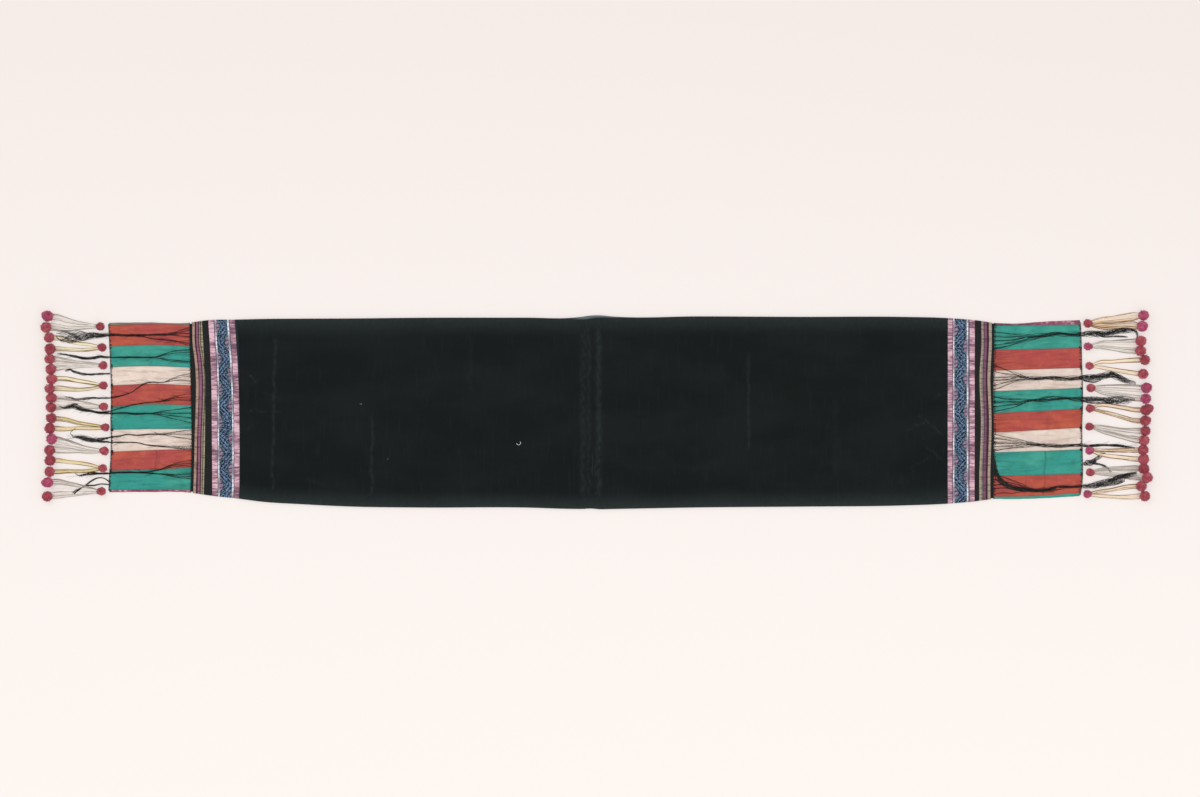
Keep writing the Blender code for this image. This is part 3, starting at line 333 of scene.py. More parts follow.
RIGHT_LOOSE = (
    (4, 20, 0.5, ((1098, 334.6, 0.8), (1104, 336.8, 1.4), (1118, 336.4, 1.8), (1128, 337.0, 1.2))),
    (5, 18, 0.5, ((1131, 330.4, 3.0), (1136, 331.4, 3.0), (1137.6, 335.4, 2.0), (1136.6, 339.0, 1.0))),
    (5, 12, 0.7, ((1108, 375.6, 3.0), (1111.4, 373.2, 4.0), (1114.6, 374.4, 3.0))),
    (4, 22, 0.5, ((1083, 380.2, 1.6), (1089, 381.6, 1.8), (1095, 382.0, 1.2), (1101, 380.2, 0.8))),
    (4, 24, 0.5, ((1083, 401.4, 1.4), (1093, 403.0, 1.8), (1104, 403.2, 1.6), (1114, 402.8, 1.2))),
    (9, 12, 0.7, ((1083.4, 464.0, 3.0), (1087.6, 463.0, 6.4), (1092, 462.4, 6.0), (1096.6, 461.4, 3.6))),
    (7, 20, 0.6, ((1089, 462.8, 2.4), (1096, 459.0, 4.0), (1101, 455.6, 5.4), (1105, 452.6, 3.0))),
    (5, 20, 0.6, ((1092, 463.6, 1.6), (1100, 464.6, 2.4), (1107, 467.6, 3.4), (1111.6, 472.4, 1.8))),
    (6, 20, 0.6, ((1096, 485.8, 2.0), (1106, 485.2, 3.4), (1114, 484.0, 4.0), (1125, 480.6, 2.0))),
    (5, 20, 0.6, ((1108, 481.0, 2.6), (1118, 477.4, 4.4), (1128, 474.2, 3.6), (1137, 472.4, 1.4))),
    (12, 30, 0.5, ((993.4, 458, 2.0), (995.0, 467, 4.4), (997.4, 476, 5.4), (1002, 482.4, 5.8),
                  (1011, 486.6, 5.0), (1024, 489.6, 4.2), (1040, 490.2, 3.6), (1056, 488.4, 2.6))),
    (1, 30, 0.2, ((996, 493.4, 0.4), (1004, 492.8, 0.4), (1012, 493.4, 0.4), (1022, 491.6, 0.4))),
)

# Tassels: px, py of the small pompom; py of the upper and lower thread lanes at the four stations; px, py of
# both large pompoms. White and yellow threads alternate.
LEFT_THREAD_STATIONS = (89, 78, 67, 58.5)
LEFT_TASSELS = (
    ((100.8, 326.5), (324.3, 322.8, 319.4, 317.0), (327.6, 328.2, 329.4, 328.4),
     (48.2, 316.3), (46.7, 327.4)),
    ((102.7, 347.5), (344.5, 343.5, 339.8, 338.0), (349.8, 350.0, 349.2, 348.8),
     (49.8, 337.6), (50.7, 348.8)),
    ((103.7, 365.4), (363.2, 362.4, 361.0, 359.6), (366.2, 366.2, 367.0, 368.0),
     (50.4, 359.0), (51.4, 369.2)),
    ((104.0, 385.5), (382.6, 381.0, 378.8, 378.4), (388.8, 389.6, 388.8, 388.2),
     (52.3, 379.1), (50.4, 388.6)),
    ((104.3, 406.7), (403.0, 401.2, 399.0, 398.2), (407.4, 406.4, 406.6, 407.0),
     (52.0, 398.0), (51.7, 407.5)),
    ((105.9, 427.4), (424.4, 422.8, 420.0, 418.6), (428.4, 428.2, 429.0, 428.8),
     (52.0, 418.2), (50.4, 428.4)),
    ((104.9, 451.0), (448.2, 445.4, 442.2, 439.8), (452.0, 451.2, 450.6, 450.2),
     (52.2, 438.9), (50.3, 450.1)),
    ((103.3, 468.2), (464.6, 463.0, 461.8, 460.6), (470.6, 471.2, 471.2, 471.6),
     (50.7, 460.3), (50.3, 471.7)),
    ((102.1, 491.2), (488.0, 485.4, 483.6, 482.0), (492.8, 494.0, 495.0, 495.6),
     (48.5, 482.3), (47.9, 496.3)),
)
RIGHT_THREAD_STATIONS = (1101, 1112, 1124, 1134)
RIGHT_TASSELS = (
    ((1087.2, 323.5), (320.4, 319.4, 318.0, 316.4), (326.4, 326.4, 325.8, 325.8),
     (1142.9, 315.5), (1141.6, 326.4)),
    ((1087.4, 346.5), (342.2, 342.0, 342.0, 341.6), (347.6, 348.8, 350.4, 351.0),
     (1140.4, 341.0), (1140.0, 350.9)),
    ((1089.0, 365.9), (362.0, 361.6, 360.6, 360.2), (367.6, 369.4, 371.4, 373.2),
     (1144.2, 360.0), (1142.3, 373.9)),
    ((1090.2, 387.9), (386.4, 386.2, 386.6, 387.2), (392.8, 394.6, 396.6, 398.2),
     (1145.8, 387.9), (1145.2, 398.8)),
    ((1089.4, 408.4), (405.0, 405.8, 407.8, 409.6), (411.4, 414.2, 417.8, 420.4),
     (1145.3, 410.0), (1144.7, 420.8)),
    ((1088.8, 426.5), (426.4, 428.6, 430.4, 430.8), (431.4, 434.0, 437.0, 439.4),
     (1144.7, 430.9), (1143.4, 440.4)),
    ((1089.0, 450.6), (450.4, 450.6, 450.4, 450.0), (454.6, 456.4, 457.8, 459.0),
     (1142.6, 449.8), (1143.0, 459.2)),
    ((1089.6, 472.2), (469.2, 468.8, 468.4, 468.4), (474.0, 474.6, 475.6, 476.6),
     (1143.2, 468.6), (1146.6, 477.4)),
    ((1086.9, 494.1), (491.4, 490.2, 487.6, 486.4), (495.8, 496.6, 497.0, 496.6),
     (1140.6, 486.0), (1144.0, 496.1)),
)
# Tassel number and pompom of those in magenta wool.
MAGENTA_LEFT = {(1, 0), (7, 0), (9, 0)}
MAGENTA_RIGHT = {(1, 0), (1, 1), (4, 0), (4, 1), (2, 2), (7, 2), (9, 2)}
# Pompoms with a longer tuft on one side: side, tassel, pompom, its direction and length in radii.
POINTED = {
    ("left", 9, 0): (-1.0, -0.1, 0.35), ("right", 5, 0): (0.9, 0.4, 0.5), ("left", 1, 0): (-0.5, 0.7, 0.12),
}
# Tassels whose yellow threads are darker.
GOLDEN = {("right", 1), ("left", 6), ("left", 8)}
LINT = (
    (0.00035, 0.8, ((516.4, 443.4), (517.6, 444.6), (519.4, 444.8), (520.6, 443.4), (520.4, 441.6))),
    (0.00024, 0.2, ((360.0, 403.4), (361.0, 404.2), (362.2, 404.0))),
    (0.00018, 0.0, ((387.2, 458.6), (388.0, 459.4), (388.8, 459.0))),
)


def to_x(px):
    return (px - MIDDLE_PX) * VIEW_SCALE


def to_y(py):
    return (MIDDLE_PY - py) * VIEW_SCALE


def spot(px, py, z):
    return to_x(px), to_y(py), z


def tone(red, green, blue):
    """A colour seen in the view, 0 to 255, as a linear shader colour."""
    parts = [channel / 255 for channel in (red, green, blue)]
    return (*[p / 12.92 if p <= 0.04045 else ((p + 0.055) / 1.055) ** 2.4 for p in parts], 1.0)


def eased(table, column=1):
    """A smooth curve through a table's rows, as a function of its first column."""
    places = np.array([row[0] for row in table], float)
    values = np.array([row[column] for row in table], float)
    slopes = np.gradient(values, places)

    def read(at):
        at = np.clip(np.asarray(at, float), places[0], places[-1])
        index = np.clip(np.searchsorted(places, at) - 1, 0, len(places) - 2)
        span = places[index + 1] - places[index]
        t = (at - places[index]) / span
        from_first = (1 + 2 * t) * (1 - t) ** 2 * values[index] + t * (1 - t) ** 2 * span * slopes[index]
        to_second = t * t * (3 - 2 * t) * values[index + 1] + t * t * (t - 1) * span * slopes[index + 1]
        return from_first + to_second

    return read


upper_fold, lower_fold = eased(FOLD_LINES, 1), eased(FOLD_LINES, 2)
left_seam, right_seam = eased(LEFT_VELVET_SEAM), eased(RIGHT_VELVET_SEAM)

# What differs between the two ends. Rows and reach are in px, and thickness is in metres.
LEFT = SimpleNamespace(
    side="left", outward=-1, outermost=0, seed=0, edge=eased(LEFT_EDGE), silk=eased(LEFT_SILK_END),
    cloth_end=109.0,
    stations=LEFT_BAND_STATIONS, stripes=LEFT_BAND_STRIPES, kinds=LEFT_KINDS, zigzag=(327.0, 31.6),
    seam_stations=LEFT_SEAM_STATIONS, seams=LEFT_SEAMS, colours=LEFT_STRIP_COLOURS,
    folds=(("dull", "green"), ("printed", "printed")), fold_shade=0.0,
    runs=LEFT_RUNS, loose=LEFT_LOOSE, thick=(0.00013, 0.00025), lane_share=1.0, fray_most=26,
    selvedge_rows=(323.7, 491.8), weft_rows=(324.0, 491.5), weft_reach=0.9, edging_rows=(324.2, 490.8),
    thread_stations=LEFT_THREAD_STATIONS, tassels=LEFT_TASSELS, magenta=MAGENTA_LEFT, yellow_turn=0,
)
RIGHT = SimpleNamespace(
    side="right", outward=1, outermost=-1, seed=1, edge=eased(RIGHT_EDGE), silk=eased(RIGHT_SILK_END),
    cloth_end=1082.0,
    stations=RIGHT_BAND_STATIONS, stripes=RIGHT_BAND_STRIPES, kinds=RIGHT_KINDS, zigzag=(330.0, 32.6),
    seam_stations=RIGHT_SEAM_STATIONS, seams=RIGHT_SEAMS, colours=RIGHT_STRIP_COLOURS,
    folds=(("printed", "printed"), ("green", "green")), fold_shade=0.9,
    runs=RIGHT_RUNS, loose=RIGHT_LOOSE, thick=(0.00017, 0.00030), lane_share=1.35, fray_most=46,
    selvedge_rows=(323.5, 498.3), weft_rows=(324.0, 498.0), weft_reach=2.8, edging_rows=(322.6, 494.6),
    thread_stations=RIGHT_THREAD_STATIONS, tassels=RIGHT_TASSELS, magenta=MAGENTA_RIGHT, yellow_turn=1,
)


def ripples(seed, length, count=7, stretch=1.0):
    """Soft unevenness with about the given wavelength: a function of x and y, within about 1."""
    rng = np.random.default_rng(seed)
    waves = []
    for _ in range(count):
        turn = rng.uniform(0, math.pi)
        size = 2 * math.pi / (length * rng.uniform(0.6, 1.6))
        waves.append((size * math.cos(turn) / stretch, size * math.sin(turn), rng.uniform(0, 2 * math.pi)))
    return lambda x, y: sum(np.sin(a * x + b * y + c) for a, b, c in waves) / math.sqrt(count)


# Materials.

class Graph:
    """A material and short ways to add nodes to it. A tuple given to mix or tint is a colour of the view."""

    def __init__(self, name, roughness, specular):
        self.material = bpy.data.materials.new(name)
        self.material.use_nodes = True
        self.nodes = self.material.node_tree.nodes
        self.links = self.material.node_tree.links
        self.shader = self.nodes["Principled BSDF"]
        self.shader.inputs["Roughness"].default_value = roughness
        self.shader.inputs["Specular IOR Level"].default_value = specular

    def put(self, socket, value):
        if isinstance(value, bpy.types.NodeSocket):
            self.links.new(value, socket)
        else:
            socket.default_value = value

    def node(self, kind, inputs, output=0, **settings):
        """A new node with its settings and what goes into its sockets. Gives the output asked for."""
        node = self.nodes.new(f"ShaderNode{kind}")
        for key, value in settings.items():
            setattr(node, key, value)
        for key, value in inputs.items():
            self.put(node.inputs[key], value)
        return node.outputs[output]

    def math(self, operation, *values):
        return self.node("Math", dict(enumerate(values)), operation=operation)

    def plus(self, first, second):
        return self.math("ADD", first, second)

    def minus(self, first, second):
        return self.math("SUBTRACT", first, second)

    def times(self, first, second):
        return self.math("MULTIPLY", first, second)

    def over(self, first, second):
        return self.math("DIVIDE", first, second)

    def wave(self, value):
        """Rises from 0 to 1 and falls back each time the value grows by 1."""
        return self.times(self.math("PINGPONG", value, 0.5), 2.0)

    def sine(self, value, length):
        return self.math("SINE", self.times(value, 2 * math.pi / length))

    def spread(self, value, low, high):
        """The value as a share of the way from low to high, kept within 0 and 1."""
        return self.node("MapRange", {0: value, 1: low, 2: high}, interpolation_type="SMOOTHSTEP")

    def mix(self, share, *colours):
        first, second = [tone(*colour) if isinstance(colour, tuple) else colour for colour in colours]
        return self.node("Mix", {0: share, 6: first, 7: second}, 2, data_type="RGBA")

    def tint(self, base, colour, value, low, high, share=1.0):
        """The base, changing to the colour by up to the share as the value goes from low to high."""
        return self.mix(self.times(self.spread(value, low, high), share), base, colour)

    def ramp(self, value, stops, interpolation="LINEAR"):
        result = self.node("ValToRGB", {0: value})
        band = result.node.color_ramp
        band.interpolation = interpolation
        while len(band.elements) < len(stops):
            band.elements.new(0.5)
        for element, stop in zip(band.elements, stops):
            element.position = stop[0]
        for element, stop in zip(band.elements, stops):
            element.color = stop[1]
        return result

    def tones(self, value, *stops):
        """A ramp of view colours: each stop is its place, red, green and blue."""
        return self.ramp(value, [(stop[0], tone(*stop[1:])) for stop in stops])

    def place(self, output="Object", scale=(1, 1, 1)):
        return self.node("Mapping", {0: self.node("TexCoord", {}, output), 3: scale})

    def split(self, vector):
        return tuple(self.node("SeparateXYZ", {0: vector}).node.outputs)

    def noise(self, scale, detail=2.0, roughness=0.5, output="Object", stretch=(1, 1, 1)):
        sizes = {"Scale": scale, "Detail": detail, "Roughness": roughness}
        return self.node("TexNoise", {"Vector": self.place(output, stretch), **sizes})

    def attribute(self, name):
        return self.node("Attribute", {}, "Fac", attribute_name=name)

    def about_half(self, base, value, share):
        """The base, raised or lowered by the value's distance from a half."""
        return self.plus(base, self.times(self.minus(value, 0.5), share))

    def bump(self, height, distance, strength):
        normal = self.node("Bump", {"Height": height, "Distance": distance, "Strength": strength})
        self.put(self.shader.inputs["Normal"], normal)

    def sheen(self, weight, roughness, tint=(1.0, 1.0, 1.0, 1.0)):
        for key, value in (("Weight", weight), ("Roughness", roughness), ("Tint", tint)):
            self.shader.inputs[f"Sheen {key}"].default_value = value

    def finish(self, colour):
        self.put(self.shader.inputs["Base Color"], colour)
        return self.material


def velvet_material():
    graph = Graph("Velvet_Black", 0.92, 0.10)
    pile = graph.noise(900)
    cloud = graph.noise(9, 3.0, 0.6, stretch=(0.6, 1.4, 1))
    streaks = graph.noise(40, stretch=(6, 0.5, 1))
    base = graph.tint((17, 22, 22), (23, 28, 28), cloud, 0.35, 0.7)
    base = graph.tint(base, (32, 38, 38), streaks, 0.55, 0.75, 0.3)
    base = graph.tint(base, (36, 42, 41), pile, 0.55, 0.8, 0.3)
    # Painted sheen: paler where the attribute marks creases, wrinkles and fold edges.
    base = graph.mix(graph.attribute("painted_sheen"), base, (96, 108, 110))
    graph.sheen(0.16, 0.45, (0.55, 0.62, 0.6, 1.0))
    graph.bump(pile, 0.0004, 0.5)
    return graph.finish(base)


def silk_material(name, seed, main, light, dark, stained, faded):
    graph = Graph(name, 0.5, 0.3)
    patches = graph.noise(34 + seed, stretch=(1, 1.6, 1))
    slub = graph.noise(30 + seed, 3.0, 0.6, stretch=(1.2, 9, 1))
    blots = graph.noise(85 + seed, 3.0, 0.6)
    fading = graph.noise(11 + seed, 1.0, stretch=(1, 1.4, 1))
    x, y, _ = graph.split(graph.place())
    thread_pair = 0.00055
    weave = graph.times(graph.sine(x, thread_pair), graph.sine(y, thread_pair))
    colour = graph.tint(main, light, patches, 0.3, 0.7)
    colour = graph.tint(colour, faded, fading, 0.42, 0.68, 0.6)
    colour = graph.tint(colour, dark, slub, 0.5, 0.75, 0.22)
    colour = graph.tint(colour, stained, blots, 0.52, 0.72, 0.5)
    # Painted shade: the dark tone where the attribute marks creases, puckers, seam edges and fold shade.
    colour = graph.mix(graph.attribute("painted_shade"), colour, dark)
    graph.sheen(0.12, 0.35, (1.0, 0.95, 0.9, 1.0))
    graph.bump(graph.plus(weave, graph.times(slub, 2.0)), 0.0001, 0.35)
    return graph.finish(colour)


def printed_material():
    graph = Graph("Silk_Printed", 0.55, 0.25)
    fine = graph.noise(420, 1.0)
    colour = graph.tones(graph.noise(120), (0.0, 104, 50, 76), (0.42, 140, 72, 98), (0.55, 162, 92, 116),
                         (0.68, 194, 156, 164))
    colour = graph.tint(colour, (110, 50, 76), fine, 0.5, 0.65, 0.4)
    # Painted shade toward a dark tone where the attribute marks it, next to the band on the right end's upper
    # fold.
    colour = graph.mix(graph.attribute("painted_shade"), colour, (74, 58, 58))
    graph.bump(fine, 0.0002, 0.3)
    return graph.finish(colour)


def zigzag_colours(graph, u, v, middle, half, start, length):
    """A ribbon of diagonal blue threads between mauve triangles from either side in turn.

    Gives the colour, and how far each place is from the ribbon's middle as a share of the stripe.
    """
    a = graph.over(graph.minus(u, middle), half)
    turn = graph.over(graph.minus(v, start), length)
    saw = graph.math("PINGPONG", graph.times(turn, 2.0), 1.0)
    apart = graph.math("ABSOLUTE", graph.minus(a, graph.times(graph.minus(0.5, saw), 0.95)))
    flecks = graph.noise(1.0, 1.0, output="UV", stretch=(0.5, 0.5, 1))
    diagonal = graph.plus(graph.times(a, half / 4.0), graph.times(saw, length / 2 / 4.3))
    threads = graph.spread(graph.wave(graph.plus(diagonal, graph.times(flecks, 2.2))), 0.4, 0.7)
    light = graph.tones(apart, (0.0, 116, 140, 174), (0.35, 102, 130, 164), (0.6, 92, 132, 140),
                        (0.8, 86, 118, 120))
    dark = graph.tones(apart, (0.2, 14, 22, 50), (0.7, 10, 34, 42))
    lines = graph.wave(graph.over(graph.plus(v, graph.times(a, 2.0)), 4.0))
    mauve = graph.tint((158, 130, 162), (52, 40, 70), lines, 0.4, 0.8, 0.75)
    ragged = graph.about_half(apart, flecks, 0.8)
    colour = graph.tint(graph.mix(threads, dark, light), mauve, ragged, 0.78, 0.92)
    return graph.tint(colour, (26, 32, 56), flecks, 0.5, 0.64, 0.6), apart


def woven_material(end):
    """Stripes along the band, and the zigzag in its blue stripe. UV is px along and px down."""
    graph = Graph(f"Band_{end.side.title()}", 0.72, 0.25)
    stripes, kinds = end.stripes, end.kinds
    u, v, _ = graph.split(graph.place("UV"))
    first, last = stripes[0][0], stripes[-1][0]
    along = graph.over(graph.minus(u, first), last - first)
    places = [(row[0] - first) / (last - first) for row in stripes[:-1]]
    base = graph.ramp(along, [(p, tone(*STRIPE_COLOURS[k])) for p, k in zip(places, kinds)], "CONSTANT")
    mask_stops = [(p, STRIPE_MASKS.get(k, (0, 0, 0, 1))) for p, k in zip(places, kinds)]
    masks = graph.ramp(along, mask_stops, "CONSTANT")
    pink, white, blue = graph.split(masks)

    # Fine threads in every stripe, and the uneven rows of the pink ones.
    rows = graph.noise(1.0, 2.0, 0.6, "UV", (0.10, 0.50, 1))
    blotches = graph.noise(1.0, 1.0, output="UV", stretch=(0.04, 0.10, 1))
    light = graph.plus(graph.times(rows, 0.9), graph.times(blotches, 0.75))
    pinks = graph.tones(light, (0.66, 116, 84, 102), (0.77, 158, 120, 134), (0.86, 190, 148, 164),
                        (0.97, 226, 188, 202))
    base = graph.mix(pink, base, pinks)
    dull = graph.times(graph.spread(rows, 0.54, 0.36), 0.5)
    others = graph.minus(1.0, graph.math("MAXIMUM", pink, blue))
    base = graph.mix(graph.times(dull, others), base, (38, 32, 34))

    blue_at = kinds.index("blue")
    blue_first, blue_last = stripes[blue_at][0], stripes[blue_at + 1][0]
    middle, half = (blue_first + blue_last) / 2, (blue_last - blue_first) / 2
    zigzag, apart = zigzag_colours(graph, u, v, middle, half, *end.zigzag)
    base = graph.mix(blue, base, zigzag)

    # The white lines, brighter where the ribbon meets them.
    beads = graph.wave(graph.over(v, 4.6))
    paler = graph.tint((132, 142, 144), (230, 232, 242), apart, 1.5, 0.75)
    base = graph.mix(white, base, graph.tint(paler, (132, 126, 144), beads, 0.45, 0.1, 0.6))
    graph.sheen(0.1, 0.4)
    relief = graph.plus(graph.times(graph.sine(v, 1.7), 0.6), graph.times(graph.sine(u, 0.45), 0.6))
    graph.bump(graph.plus(relief, graph.times(rows, 1.5)), 0.00016, 0.5)
    return graph.finish(base)


def thread_material(name, roughness, dark, middle, light):
    """Threads whose shade follows each one's own tone, with fine fibres along them."""
    graph = Graph(name, roughness, 0.25)
    fibres = graph.noise(700)
    shade = graph.about_half(graph.attribute("tone"), fibres, 0.5)
    graph.sheen(0.1, 0.4)
    graph.bump(fibres, 0.0002, 0.4)
    return graph.finish(graph.tones(shade, (0.0, *dark), (0.5, *middle), (1.0, *light)))


def wool_material(name, dark, middle, light):
    graph = Graph(name, 0.9, 0.15)
    fluff = graph.noise(520, 3.0, 0.6)
    shade = graph.about_half(graph.attribute("tone"), fluff, 0.9)
    shade = graph.about_half(shade, graph.noise(150, 1.0), 0.5)
    graph.sheen(0.35, 0.5, (1.0, 0.75, 0.8, 1.0))
    graph.bump(fluff, 0.0006, 0.7)
    return graph.finish(graph.tones(shade, (0.0, *dark), (0.5, *middle), (1.0, *light)))


def make_materials():
    materials = {"velvet": velvet_material()}
    materials.update({key: silk_material(*values) for key, values in SILKS.items()})
    materials["printed"] = printed_material()
    materials.update({key: thread_material(*values) for key, values in THREADS.items()})
    materials.update({key: wool_material(*values) for key, values in WOOLS.items()})
    materials.update({f"band_{end.side}": woven_material(end) for end in (LEFT, RIGHT)})
    return materials


# Mesh helpers.

def make_piece(name, points, faces, material, nodes=(), attributes=None, uvs=None):
    mesh = bpy.data.meshes.new(name)
    mesh.from_pydata([tuple(p) for p in points], [], faces)
    mesh.materials.append(material)
    for key, values in (attributes or {}).items():
        layer = mesh.attributes.new(key, "FLOAT", "POINT")
        layer.data.foreach_set("value", np.asarray(values, np.float32))
    if uvs is not None:
        layer = mesh.uv_layers.new(name="UVMap")
        corner_verts = np.zeros(len(mesh.loops), np.int32)
        mesh.loops.foreach_get("vertex_index", corner_verts)
        layer.data.foreach_set("uv", np.asarray(uvs, np.float32)[corner_verts].ravel())
    mesh.validate()
    shell = bmesh.new()
    shell.from_mesh(mesh)
    bmesh.ops.recalc_face_normals(shell, faces=shell.faces)
    shell.to_mesh(mesh)
    shell.free()
    mesh.shade_smooth()
    mesh.set_sharp_from_angle(angle=math.radians(60))
    piece = bpy.data.objects.new(name, mesh)
    bpy.context.scene.collection.objects.link(piece)
    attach(piece, "root")
    if nodes:
        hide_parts(*nodes)
    return piece


def grid_faces(columns, rows, start=0, wrap=False):
    """Quads of a grid whose points run row by row within each column."""
    faces = []
    last = rows if wrap else rows - 1
    for c in range(columns - 1):
        for r in range(last):
            here, beside = start + c * rows, start + (c + 1) * rows
            faces.append((here + r, here + (r + 1) % rows, beside + (r + 1) % rows, beside + r))
    return faces


def grid_rim(columns, rows):
    """The points round such a grid, in turn."""
    rim = [*range(rows), *[c * rows + rows - 1 for c in range(1, columns)]]
    rim += [(columns - 1) * rows + r for r in range(rows - 2, -1, -1)]
    return rim + [c * rows for c in range(columns - 2, 0, -1)]


def closed_ring_faces(count, rings, start=0):
    """Faces of a tube of rings, with both of its ends closed."""
    total = count * rings
    ends = [tuple(range(start, start + count)), tuple(range(start + total - count, start + total))]
    return grid_faces(rings, count, start, wrap=True) + ends


# Cloth tubes pressed flat: velvet and bands.

def tube_columns(place, columns, heights, inset):
    """Ring points of a pressed tube: px, py, height and how much upper-layer detail each takes."""
    flat_height, fold_height = heights
    roll = fold_height / 2
    middle_px = place(columns, np.full(len(columns), MIDDLE_PY))
    top, bottom = to_y(upper_fold(middle_px)), to_y(lower_fold(middle_px))
    ys, zs, takes = [], [], []

    def add(y, z, take):
        ys.append(y)
        zs.append(np.full(len(columns), z))
        takes.append(take)

    def add_arc(crest, outward, angles):
        for angle in angles:
            bend = math.radians(angle)
            add(crest - outward * roll + outward * (roll - inset) * math.cos(bend),
                roll + (roll - inset) * math.sin(bend), 0.0)

    def add_shoulder(crest, outward, distances):
        for distance in distances:
            share = np.cos(np.clip(distance / SHOULDER, 0, 1) * math.pi / 2) ** 2
            add(crest - outward * roll - outward * distance,
                flat_height + (fold_height - flat_height) * share - inset, min(1.0, distance / 0.008))

    for part in np.linspace(0, 1, UNDER_COUNT):
        add(bottom + roll + (top - bottom - 2 * roll) * part, inset + UNDERSIDE, 0.0)
    add_arc(top, 1, ARC_ANGLES)
    add_shoulder(top, 1, ROLL_DISTANCES)
    inner_top, inner_bottom = top - roll - SHOULDER, bottom + roll + SHOULDER
    for part in np.linspace(0, 1, UPPER_COUNT + 2)[1:-1]:
        add(inner_top + (inner_bottom - inner_top) * part, flat_height - inset, 1.0)
    add_shoulder(bottom, -1, reversed(ROLL_DISTANCES))
    add_arc(bottom, -1, reversed(ARC_ANGLES))
    py = MIDDLE_PY - np.array(ys) / VIEW_SCALE
    px = np.array([place(columns, row) for row in py])
    return px, py, np.array(zs), np.array(takes)[:, None] * np.ones(len(columns))


def build_tube(name, place, columns, heights, detail, material):
    """A pressed tube of cloth, with its wall turned in at both open ends."""
    px, py, z, take = tube_columns(place, columns, heights, 0.0)
    lip_px, lip_py, lip_z, lip_take = tube_columns(place, columns, heights, TUBE_WALL)
    # The detail gives the rise and the painted sheen of the upper layer.
    rise, sheen_mark = detail(px, py)

    def joined(outer, lip, reach=0.0):
        """The tube's columns between two of the lip's at either end, one of them farther in."""
        first, last = lip[:, :1], lip[:, -1:]
        return np.concatenate([first + reach, first, outer, last, last - reach], axis=1)

    all_px = joined(px, lip_px, LIP_REACH / VIEW_SCALE)
    all_py = joined(py, lip_py)
    all_z = joined(z + rise * take, lip_z + rise * lip_take)
    own = joined(columns[None, :], columns[None, :])[0]
    rows, count = all_px.shape
    points = np.stack([to_x(all_px).T.ravel(), to_y(all_py).T.ravel(), all_z.T.ravel()], axis=1)
    uvs = np.stack([np.repeat(own, rows), all_py.T.ravel()], axis=1)
    return make_piece(f"{name}_cloth", points, grid_faces(count, rows, wrap=True), material, (name,),
                      {"painted_sheen": joined(sheen_mark, sheen_mark).T.ravel()}, uvs)


def velvet_columns():
    places = [VELVET_STRETCHES[0][0]]
    for first, last, step in VELVET_STRETCHES:
        places += list(np.linspace(first, last, max(1, round((last - first) / step)) + 1)[1:])
    return np.array(places)


def velvet_place(columns, py):
    """The seams follow their lines, and the columns straighten out within 8 px of them."""
    at_left = np.clip((248 - columns) / 8, 0, 1)
    at_right = np.clip((columns - 941.2) / 6, 0, 1)
    return columns + (left_seam(py) - 240.0) * at_left + (right_seam(py) - 947.2) * at_right


velvet_swell = ripples(3, 0.11, 9, 1.6)
velvet_ripple = ripples(4, 0.03, 9)
velvet_wander = ripples(5, 0.05, 5)
velvet_patches = ripples(6, 0.012, 9)


def velvet_detail(px, py):
    """How far the upper layer rises, and how pale its painted sheen makes it, at its creases, wrinkles and
    edges.
    """
    x, y = to_x(px), to_y(py)
    rise = 0.00035 * velvet_swell(x, y) + 0.00010 * velvet_ripple(x, y)
    wander = velvet_wander(x * 0, y) * 0.7
    patchy = np.clip(0.75 + 0.35 * velvet_patches(x, y), 0.2, 1.3)
    sheen_mark = np.zeros_like(px)
    for top_px, bottom_px, first, last, height, width, sheen_share in VELVET_LINES:
        line = top_px + (bottom_px - top_px) * ((py - 316) / 192) + wander
        fade = np.clip((py - first) / 8, 0, 1) * np.clip((last - py) / 8, 0, 1)
        here = np.exp(-((px - line) / width) ** 2) * fade
        rise = rise + height * 0.001 * here
        sheen_mark = np.maximum(sheen_mark, sheen_share * here * patchy)
    for px0, py0, px1, py1, height, width, sheen_share in VELVET_WRINKLES:
        length = math.hypot(px1 - px0, py1 - py0)
        along = ((px - px0) * (px1 - px0) + (py - py0) * (py1 - py0)) / length
        across = ((px - px0) * (py1 - py0) - (py - py0) * (px1 - px0)) / length
        across = across + 0.6 * np.sin(along * 0.5)
        fade = np.clip(along / 4, 0, 1) * np.clip((length - along) / 4, 0, 1)
        here = np.exp(-(across / width) ** 2) * fade
        rise = rise + height * 0.001 * here
        sheen_mark = np.maximum(sheen_mark, 0.55 * sheen_share * here * patchy)
    # Painted sheen along both fold edges, palest at the fold.
    from_top, from_bottom = py - upper_fold(px), lower_fold(px) - py
    edge = 0.13 * np.clip(1 - from_top / 20, 0, 1) ** 1.3 + 0.16 * np.clip(1 - from_bottom / 18, 0, 1) ** 1.4
    # A second layer of the fold shows along the top, beside the centre crease, painted there as a pale sheen.
    layer = np.exp(-((px - 598) / 22) ** 6) * np.clip((3.2 - abs(px - 588) / 14 - from_top) / 0.8, 0, 1)
    return rise, np.clip(np.maximum(sheen_mark * 0.52, edge * (0.7 + 0.3 * patchy)) + layer, 0, 1)


def band_place(end):
    """Where a band's own place lies in the view, at any py."""
    own = np.array([row[0] for row in end.stripes])
    lines = [eased(tuple(zip(end.stations, row[1:]))) for row in end.stripes]

    def place(columns, py):
        columns, py = np.broadcast_arrays(np.asarray(columns, float), np.asarray(py, float))
        values = np.array([line(py) for line in lines]).reshape(len(lines), -1)
        index = np.clip(np.searchsorted(own, columns) - 1, 0, len(own) - 2)
        t = (columns - own[index]) / (own[index + 1] - own[index])
        flat = np.arange(py.size).reshape(py.shape)
        return values[index, flat] * (1 - t) + values[index + 1, flat] * t

    return place


def band_columns(stripes):
    own = [stripes[0][0]]
    for before, after in zip(stripes, stripes[1:]):
        own += list(np.linspace(before[0], after[0], max(1, round((after[0] - before[0]) / 0.8)) + 1)[1:])
    return np.array(own)


